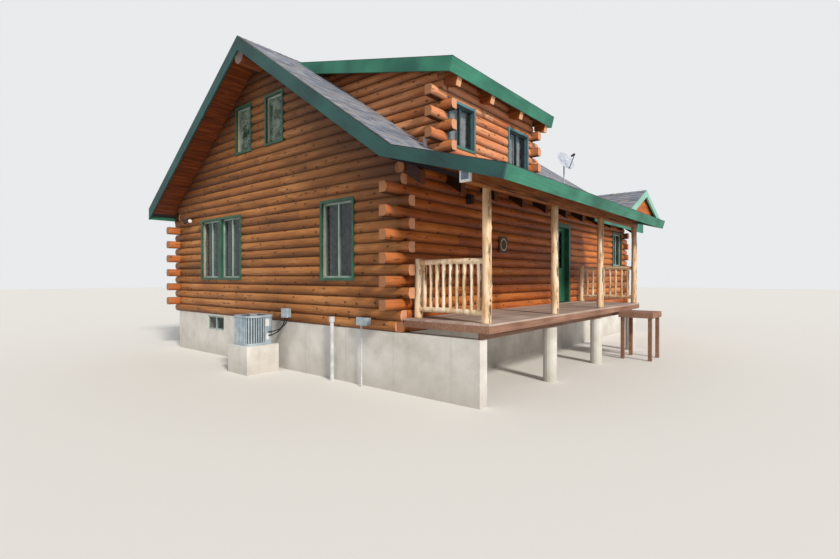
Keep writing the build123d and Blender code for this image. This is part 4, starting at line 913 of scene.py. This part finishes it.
def railing(newel_x, post_x, count, seed):
    """The end railing from the newel to a corner post."""
    chance = Random(seed)
    start = Vector((newel_x, -newel_setback, 0))
    end = Vector((post_x, -post_line, 0))
    newel_path = [start + Vector((0, 0, deck_top + newel_height * k / 3)) for k in range(4)]
    newel_radii = [newel_radius * taper for taper in (1.0, 0.96, 0.94, 0.9)]
    shapes = [pole(newel_path, newel_radii, 24, 40, seed, knots=2)]
    for z in (low_rail, high_rail):
        level = Vector((0, 0, z))
        path = [start + level, start.lerp(end, 0.5) + level + Vector((0, 0, rail_bow)), end + level]
        radii = [rail_radius * taper for taper in (1.0, 0.92, 0.95)]
        shapes.append(pole(path, radii, 20, 60, seed + int(z * 10), knots=3, rough=0.06))
    for n in range(count):
        foot = start.lerp(end, (n + 1) / (count + 1))
        thick = end_baluster_radius if n in (0, count - 1) else chance.uniform(0.026, 0.038)
        lean = chance.uniform(-baluster_lean, baluster_lean)
        path = [
            foot + Vector((0, 0, low_rail)),
            foot + Vector((lean / 2, lean, low_rail + (high_rail - low_rail) / 2)),
            foot + Vector((0, -lean / 2, high_rail)),
        ]
        radii = [thick * taper for taper in (1.0, 0.85, 0.9)]
        shapes.append(pole(path, radii, 12, 24, seed + 7 * n, knots=1, rough=0.1))
    return shapes


rails = railing(near_newel_x, post_places[0], 9, 41) + railing(post_places[-1], post_places[-1], 8, 43)
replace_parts(piece("peeled_railings", rails, peeled, smooth=True), "porch_railings")


# Window casings and door frame: planed boards nailed round each opening and painted green.
# Satin with faint brush marks; the darker green is painted shade, and greyer, bluer tones on the dormer
# casings are painted sunlight.
def parted(add, mottle, share, *pairs):
    """The first pair of mottled tones, and the second one where share is 1."""
    ramps = [add("ValToRGB", mottle, stops=((0.35, 0.7), tones)) for tones in pairs]
    return add("MixRGB", share, *ramps)


# casing tones: darker ones that paint shade, and greyer, bluer ones that paint sunlight on the dormer
painted_shade_casing_tones = ("#1a4434", "#2d624b")
painted_sun_casing_tones = ("#35606a", "#5b8a92")
casing_paint, add, place = finish("casing_paint", 0.5)
axes = add("SeparateXYZ", place)
painted_sun_share = add("MapRange", axes.outputs[2], 4.3, 4.6)
front_side = add("Math LESS_THAN", axes.outputs[1], 0.0)
painted_sun_share = add("Math MULTIPLY", painted_sun_share, front_side)
wear = add("TexNoise", place, Scale=3.0, Detail=5.0)
brush = add("TexNoise", place, Scale=60.0, Detail=2.0)
lay(casing_paint, parted(add, wear, painted_sun_share, painted_shade_casing_tones, painted_sun_casing_tones), brush, 0.15)
coat(casing_paint, "window_casings", "door_frame")

# Window sashes: extruded vinyl frames, white in the main rooms and dark teal in the dormer.
# Smooth and a little glossy, with a thin grey film of dust.
front_reach = 0.3
dormer_foot = 4.2
white_sash = ("#7f958d", "#a3b6ae")
teal_sash = ("#1f3b42", "#35565e")
vinyl, add, place = finish("white_vinyl", 0.35)
axes = add("SeparateXYZ", place)
dirt = add("TexNoise", place, Scale=4.0, Detail=4.0)
on_front = add("Math LESS_THAN", axes.outputs[1], front_reach)
upstairs = add("Math GREATER_THAN", axes.outputs[2], dormer_foot)
in_dormer = add("Math MULTIPLY", on_front, upstairs)
lay(vinyl, parted(add, dirt, in_dormer, white_sash, teal_sash))
coat(vinyl, "window_sashes")

# Window and door glass: clear float glass before dark rooms, with a soft sheen; its near-black mottled tint
# is painted shade of the rooms with faint painted reflections.
# The gable loft panes are tinted pale green instead: a painted reflection.
loft_sill = 4.75
pane, add, place = finish("window_pane", 0.05, Alpha=0.3, IOR=1.6)
axes = add("SeparateXYZ", place)
painted_reflection_mottle = add("TexNoise", place, Scale=5.0, Detail=6.0, Roughness=0.7)
painted_shade_pane_tint = add("ValToRGB", painted_reflection_mottle, stops=((0.35, 0.7), ("#0e1618", "#2e3c40")))
painted_reflection_tint = add("ValToRGB", painted_reflection_mottle, stops=((0.4, 0.62), ("#37543f", "#b4ccb9")))
in_loft = add("Math GREATER_THAN", axes.outputs[2], loft_sill)
at_gable = add("Math GREATER_THAN", axes.outputs[1], front_reach)
painted_reflection_share = add("Math MULTIPLY", in_loft, at_gable)
lay(pane, add("MixRGB", painted_reflection_share, painted_shade_pane_tint, painted_reflection_tint))
coat(pane, "window_glass", "door_glass")

# Blinds: stiff vinyl slats hung from a head rail in the inner reveal of each room's window.
# They stand half turned, so pale slats and dark gaps show in turn through the panes.
slat_depth = 0.078
slat_thick = 0.0025
slat_pitch = 0.095
dormer_slat_pitch = 0.1
slat_foot_gap = 0.012
slat_line = 0.036
head_rail_height = 0.034
head_rail_depth = 0.045
head_rail_gap = 0.001
blind_end_gap = 0.006
slat_end_gap = 0.025
main_sill = 1.914
main_head = 3.33
dormer_sill = 4.423
dormer_head = 5.207
double_place = house_width - 2.22
double_width = 1.83
single_place = house_width - 6.563
single_width = 0.85
front_place = 10.878
front_width = 0.89
front_sill = 2.314
front_head = 3.383
dormer_windows = ((1.592, 0.803), (3.84, 0.846))


def blind(at, middle, width, sill, head, turned, pitch=slat_pitch):
    """Slats and rail of one window; at places (along the wall, into the wall) in plan."""
    half = width / 2 - blind_end_gap
    near = slat_line - head_rail_depth / 2
    far = slat_line + head_rail_depth / 2
    rail = [at(*p) for p in rectangle(middle - half, middle + half, near, far)]
    shapes = [upright(rail, head - head_rail_height, head - head_rail_gap)]
    run = Vector((cos(turned), sin(turned))) * slat_depth / 2
    side = Vector((-sin(turned), cos(turned))) * slat_thick / 2
    count = int((width - 2 * slat_end_gap) / pitch)
    for n in range(count):
        centre = Vector((middle + (n - (count - 1) / 2) * pitch, slat_line))
        corners = [at(*(centre + p)) for p in (-run - side, run - side, run + side, -run + side)]
        shapes.append(upright(corners, sill + slat_foot_gap, head - head_rail_height))
    return shapes


def near_wall(along, inward):
    return inward, along


def far_wall(along, inward):
    return house_length - inward, along


def front_side_wall(along, inward):
    return along, inward


def back_side_wall(along, inward):
    return along, house_width - inward


room_blinds = []
for wall in (near_wall, far_wall):
    room_blinds += blind(wall, double_place, double_width, main_sill, main_head, radians(-40))
    room_blinds += blind(wall, single_place, single_width, main_sill, main_head, radians(-32))
for share in (1 / 5, 1 / 2, 4 / 5):
    back_place = house_length * share
    room_blinds += blind(back_side_wall, back_place, single_width, main_sill, main_head, radians(-40))
room_blinds += blind(front_side_wall, front_place, front_width, front_sill, front_head, radians(-30))
ribbed_vinyl = clouded("ribbed_blind_vinyl", "#6c777b", "#929ca0", 0.5, Scale=14.0)
piece("room_blinds", room_blinds, ribbed_vinyl)

dormer_blinds = []
for middle, width in dormer_windows:
    dormer_blinds += blind(
        front_side_wall, middle, width, dormer_sill, dormer_head, radians(-24), dormer_slat_pitch
    )
pale_vinyl = clouded("pale_blind_vinyl", "#c9d2dc", "#f1f3f5", 0.5, Scale=9.0)
piece("dormer_blinds", dormer_blinds, pale_vinyl)

# Front door: a pressed steel leaf under factory green enamel, hung in the green frame.
# Smooth satin, a little darker and dustier towards its foot.
door_enamel, add, place = finish("green_door_enamel", 0.38)
height = add("SeparateXYZ", place).outputs[2]
dust = add("TexNoise", place, Scale=5.0, Detail=5.0)
fresh = add("ValToRGB", dust, stops=((0.35, 0.7), ("#1f6a4c", "#2f7f5f")))
kick = add("MapRange", height, 1.25, 1.7, 0.5, 0.0)
lay(door_enamel, add("MixRGB", kick, fresh, "#2f4a3d"), dust, 0.1)
coat(door_enamel, "door_leaf")

# Door knobs: turned and lacquered brass, drawn together by screws through the leaf.
# Bright yellow metal, mottled brighter and darker.
coat(clouded("lacquered_brass", "#b08a45", "#e0bd74", 0.24, 1.0, Scale=40.0, Detail=4.0), "door_knobs")

# Door hinges: blackened steel leaves rolled round their pins and screwed to the jamb.
# Dull black with a faint cloud of oxide.
coat(clouded("blackened_steel", "#1b1a19", "#35332f", 0.45, 0.8, Scale=60.0), "door_hinges")

# Air conditioner: a folded steel cabinet under silver-blue powder coat, on its concrete footing.
# Upright louvres stand in front of the dark coil on all sides but the service corner.
cabinet_low = 0.56
cabinet_high = 1.156
cabinet_rim = 0.045
cabinet_place = Vector((-0.65, 3.5))
body_half = 0.2925
body_corner = 0.115
fan_opening = 0.25
louvre_pitch = 0.052
louvre_wide = 0.034
louvre_deep = 0.012
louvre_set_in = 0.004
louvre_taper = 0.55
service_start = 0.07
panel_thick = 0.012
panel_proud = 0.006
silver = ("#93a5b1", "#b6c5ce")
cabinet_steel, add, place = finish("cabinet_steel_and_coil", 0.5, 0.2)
height = add("SeparateXYZ", place).outputs[2]
mottle = add("TexNoise", place, Scale=7.0, Detail=5.0)
rim_colour = add("ValToRGB", mottle, stops=((0.35, 0.7), silver))
above = add("Math GREATER_THAN", height, cabinet_low + cabinet_rim)
below = add("Math LESS_THAN", height, cabinet_high - cabinet_rim + 0.002)
within = add("Math MULTIPLY", above, below)
lay(cabinet_steel, add("MixRGB", within, rim_colour, "#2a3238"))
coat(cabinet_steel, "condenser")

straight = 2 * (body_half - body_corner)
bend = pi / 2 * body_corner
louvres = []
rows = round(4 * (straight + bend) / louvre_pitch)
for n in range(rows):
    reach = n * 4 * (straight + bend) / rows
    side = int(reach // (straight + bend))
    along = reach - side * (straight + bend)
    quarter = pi / 2 * side
    if along < straight:
        turn = quarter
        local = Vector((body_half, along - straight / 2))
    else:
        turn = quarter + (along - straight) / body_corner
        bow = Vector((cos(turn - quarter), sin(turn - quarter))) * body_corner
        local = Vector((body_half - body_corner, straight / 2)) + bow
    foot = Matrix.Rotation(quarter, 2) @ local
    if foot.y < body_corner - body_half and foot.x > service_start:
        continue
    out = Vector((cos(turn), sin(turn)))
    across = Vector((-sin(turn), cos(turn))) * louvre_wide / 2
    outline = [
        cabinet_place + foot + across * s + out * d
        for s, d in (
            (-1, -louvre_set_in),
            (1, -louvre_set_in),
            (louvre_taper, louvre_deep),
            (-louvre_taper, louvre_deep),
        )
    ]
    louvres.append(upright(outline, cabinet_low + cabinet_rim, cabinet_high - cabinet_rim))
corner_centre = Vector((body_half - body_corner, body_corner - body_half))
panel = []
for radius in (body_corner + panel_proud, body_corner + panel_proud - panel_thick):
    rim = [corner_centre + Vector((service_start - corner_centre.x, -radius))]
    rim += [corner_centre + Vector((sin(pi / 12 * k), -cos(pi / 12 * k))) * radius for k in range(7)]
    panel += rim[::-1] if panel else rim
service = [cabinet_place + p for p in panel]
louvres.append(upright(service, cabinet_low + cabinet_rim, cabinet_high - cabinet_rim))
powder_coat = clouded("silver_powder_coat", *silver, 0.42, 0.25, Scale=7.0, Detail=5.0)
piece("condenser_louvres", louvres, powder_coat)


# Fan guard: wire hoops spot-welded to spokes, over the opening in the cabinet's top.
# Drawn steel under a thin plastic coat, dark grey and satin.
def circle(count):
    """Level unit vectors, evenly all round."""
    return [Vector((cos(2 * pi * n / count), sin(2 * pi * n / count), 0)) for n in range(count)]


hoop_count = 9
hoop_first = 0.07
hoop_step = 0.02
hoop_sides = 40
wire_half = 0.0022
spoke_count = 8
spoke_start = 0.05
spoke_wide = 0.006
spoke_thick = 0.004
guard_sink = 0.008
spoke_sink = 0.006
spoke_end_gap = 0.004
guard_centre = Vector((*cabinet_place, cabinet_high - guard_sink))
guard = []
for n in range(hoop_count):
    radius = hoop_first + hoop_step * n
    rows = [
        [
            guard_centre + out * (radius + r * wire_half) + Vector((0, 0, z * wire_half))
            for r, z in ((-1, 1), (1, 1), (1, -1), (-1, -1))
        ]
        for out in circle(hoop_sides)
    ]
    guard.append(joined(rows, looped=True))
spoke_drop = Vector((0, 0, spoke_sink))
for out in circle(spoke_count):
    start = guard_centre + out * spoke_start - spoke_drop
    end = guard_centre + out * (fan_opening - spoke_end_gap) - spoke_drop
    guard.append(bar(start, end, Vector((-out.y, out.x, 0)) * spoke_wide, spoke_thick, (0, 0, 1)))
guard_wire = clouded("coated_guard_wire", "#20262a", "#39424a", 0.4, 0.3, Scale=20.0)
piece("condenser_guard", guard, guard_wire)

# Fan motor cover in the middle of the guard, and bare plates on the service panel.
# Pressed from sheet steel and screwed on, pale and smooth, with nothing printed on them.
hub_radius = 0.075
hub_sides = 24
hub_top = cabinet_high - 0.001
hub_thick = 0.011
plate_face = -0.2995
plate_back = -0.296
hub = [cabinet_place + out.xy * hub_radius for out in circle(hub_sides)]
plates = [upright(hub, hub_top - hub_thick, hub_top)]
for left, right, low, high in ((0.09, 0.168, 0.93, 1.075), (0.105, 0.162, 0.66, 0.78)):
    corners = [cabinet_place + Vector(p) for p in rectangle(left, right, plate_face, plate_back)]
    plates.append(upright(corners, low, high))
plate_metal = clouded("bare_pressed_plate", "#cfd0cf", "#e2e3e2", 0.5, Scale=25.0)
piece("condenser_plates", plates, plate_metal)

# Lines to the air conditioner: black flexible conduit and insulated tube, held at the wall box
# and at the cabinet. Matt rubber with a fine grain.
black_sleeve = clouded("black_rubber_sleeve", "#0b0c0d", "#1b1d20", 0.6, relief=0.3, Scale=50.0)
coat(black_sleeve, "condenser_lines")


# Wall boxes and pipes: a grey painted steel disconnect and meter box, and white plastic pipe
# down the wall with a wider vent head.
def weathered(name, dark, light, roughness, metallic=0.0):
    """A painted or moulded surface with a light film of dust."""
    look = {"Scale": 8.0, "Detail": 5.0, "Roughness": 0.6}
    return clouded(name, dark, light, roughness, metallic, relief=0.15, **look)


coat(weathered("grey_painted_steel", "#7f909b", "#a9b7c0", 0.45), "wall_boxes")
coat(weathered("white_pvc_pipe", "#b3b6ba", "#d3d5d8", 0.4), "wall_pipes")
coat(weathered("vent_pipe_pvc", "#b3a2aa", "#d2c3c8", 0.45), "roof_vent")

# Box covers: a lid with a raised edge on each wall box, pressed from steel and screwed on.
# Its enamel is a little paler than the box.
cover_lap = 0.004
cover_proud = 0.006
cover_depth = 0.036
covers = []
for y, z, wide, tall in ((3.025, 1.19, 0.19, 0.18), (0.72, 1.152, 0.26, 0.13)):
    face_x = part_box("wall_boxes")[0].x - cover_proud
    half = wide / 2 + cover_lap
    plan = rectangle(face_x, face_x + cover_depth, y - half, y + half)
    covers.append(upright(plan, z - tall / 2 - cover_lap, z + tall / 2 + cover_lap))
piece("wall_box_covers", covers, weathered("grey_cover_enamel", "#93a3ad", "#b9c6ce", 0.4))

# Outside lights: bronze twin floodlights on the gable, a white square lamp on the porch beam's
# end and a dark lantern by the porch; all are painted die-cast housings.
beam_side_y = -1.2
bronze = ("#1c1613", "#3a302a")
white_enamel = ("#dcdfe3", "#f2f3f5")
lamp_paint, add, place = finish("lamp_housing_paint", 0.4)
film = add("TexNoise", place, Scale=12.0, Detail=4.0)
reach = add("SeparateXYZ", place).outputs[1]
on_beam = add("Math LESS_THAN", reach, beam_side_y)
lay(lamp_paint, parted(add, film, on_beam, bronze, white_enamel))
coat(lamp_paint, "outside_lights")

# Lamp fronts: pressed glass held by the rims of the housings, frosted and softly glossy.
# Blue-grey in the square lamp and white on the floodlights.
beam_face_x = -0.56
lens_half_thick = 0.004
square_y = -1.668
square_z = 3.322
square_half_width = 0.06
square_half_height = 0.057
square = rectangle(
    beam_face_x - lens_half_thick,
    beam_face_x + lens_half_thick,
    square_y - square_half_width,
    square_y + square_half_width,
)
lens = [upright(square, square_z - square_half_height, square_z + square_half_height)]
piece("square_lamp_lens", lens, weathered("frosted_lamp_lens", "#5a6a84", "#8495ad", 0.25))
flood_root = Vector((-0.1678, 7.4, 3.43))
flood_spread = 0.03
flood_length = 0.151
flood_radius = 0.05
flood_crown = 0.018
flood_sides = 16
lenses = []
for side in (-1, 1):
    aim = Vector((-0.5, side, -0.3)).normalized()
    foot = flood_root + Vector((0, side * flood_spread, 0)) + aim * flood_length
    across = aim.orthogonal().normalized()
    other = aim.cross(across)
    rim = [foot + (across * out.x + other * out.y) * flood_radius for out in circle(flood_sides)]
    lenses.append(joined([rim, [foot + aim * flood_crown + (p - foot) * 0.6 for p in rim]]))
piece("floodlight_lenses", lenses, weathered("white_lamp_glass", "#d9dbd8", "#f3f3ee", 0.2))

# Wall plaque: a square plank stained dark and screwed to the logs, with a lighter carved ring.
# The grain shows through both stains, and nothing is written on it.
ring_rise = 0.004
dark_wood = ("#2e2016", "#4a3728")
pale_wood = ("#9a8468", "#c0ab8c")
plaque_stain, add, place = finish("dark_plaque_stain", 0.6)
plank_grain = drawn(add, place, 0, (4, 30, 30), Detail=4.0)
reach = add("SeparateXYZ", place).outputs[1]
raised = add("Math LESS_THAN", reach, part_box("wall_plaque")[0].y + ring_rise)
lay(plaque_stain, parted(add, plank_grain, raised, dark_wood, pale_wood))
coat(plaque_stain, "wall_plaque")

# Dish antenna: a pressed steel dish under pale blue-grey paint on a tube mast, with a steel arm
# that carries the receiver in front of it.
dish_x = 7.9
dish_y = 0.5
mast_height = 0.85
arm_wide = 0.024
arm_thick = 0.02
coat(weathered("dish_paint", "#9aa3b3", "#c3cad6", 0.45, 0.1), "dish_antenna")
dish_centre = Vector((dish_x, dish_y, main_top(dish_y) + mast_height))
dish_aim = Vector((-0.3, -0.85, 0.45)).normalized()
dish_down = (dish_aim * dish_aim.z - Vector((0, 0, 1))).normalized()
dish_side = dish_aim.cross(dish_down) * arm_wide
# places on the arm and its receiver, down the dish's face and out along its axis
arm_foot = dish_centre + dish_down * 0.3 + dish_aim * 0.06 - dish_side / 2
arm_end = dish_centre + dish_down * 0.05 + dish_aim * 0.42 - dish_side / 2
receiver_back = dish_centre + dish_down * 0.04 + dish_aim * 0.43
receiver_front = receiver_back - dish_aim * 0.12 - dish_down * 0.02
arm = [
    bar(arm_foot, arm_end, dish_side, arm_thick, dish_aim),
    pole([receiver_back, receiver_front], [0.035, 0.028], 16, 2, 61),
]
piece("dish_arm", arm, weathered("dark_arm_steel", "#2a2d31", "#474b51", 0.45, 0.4))
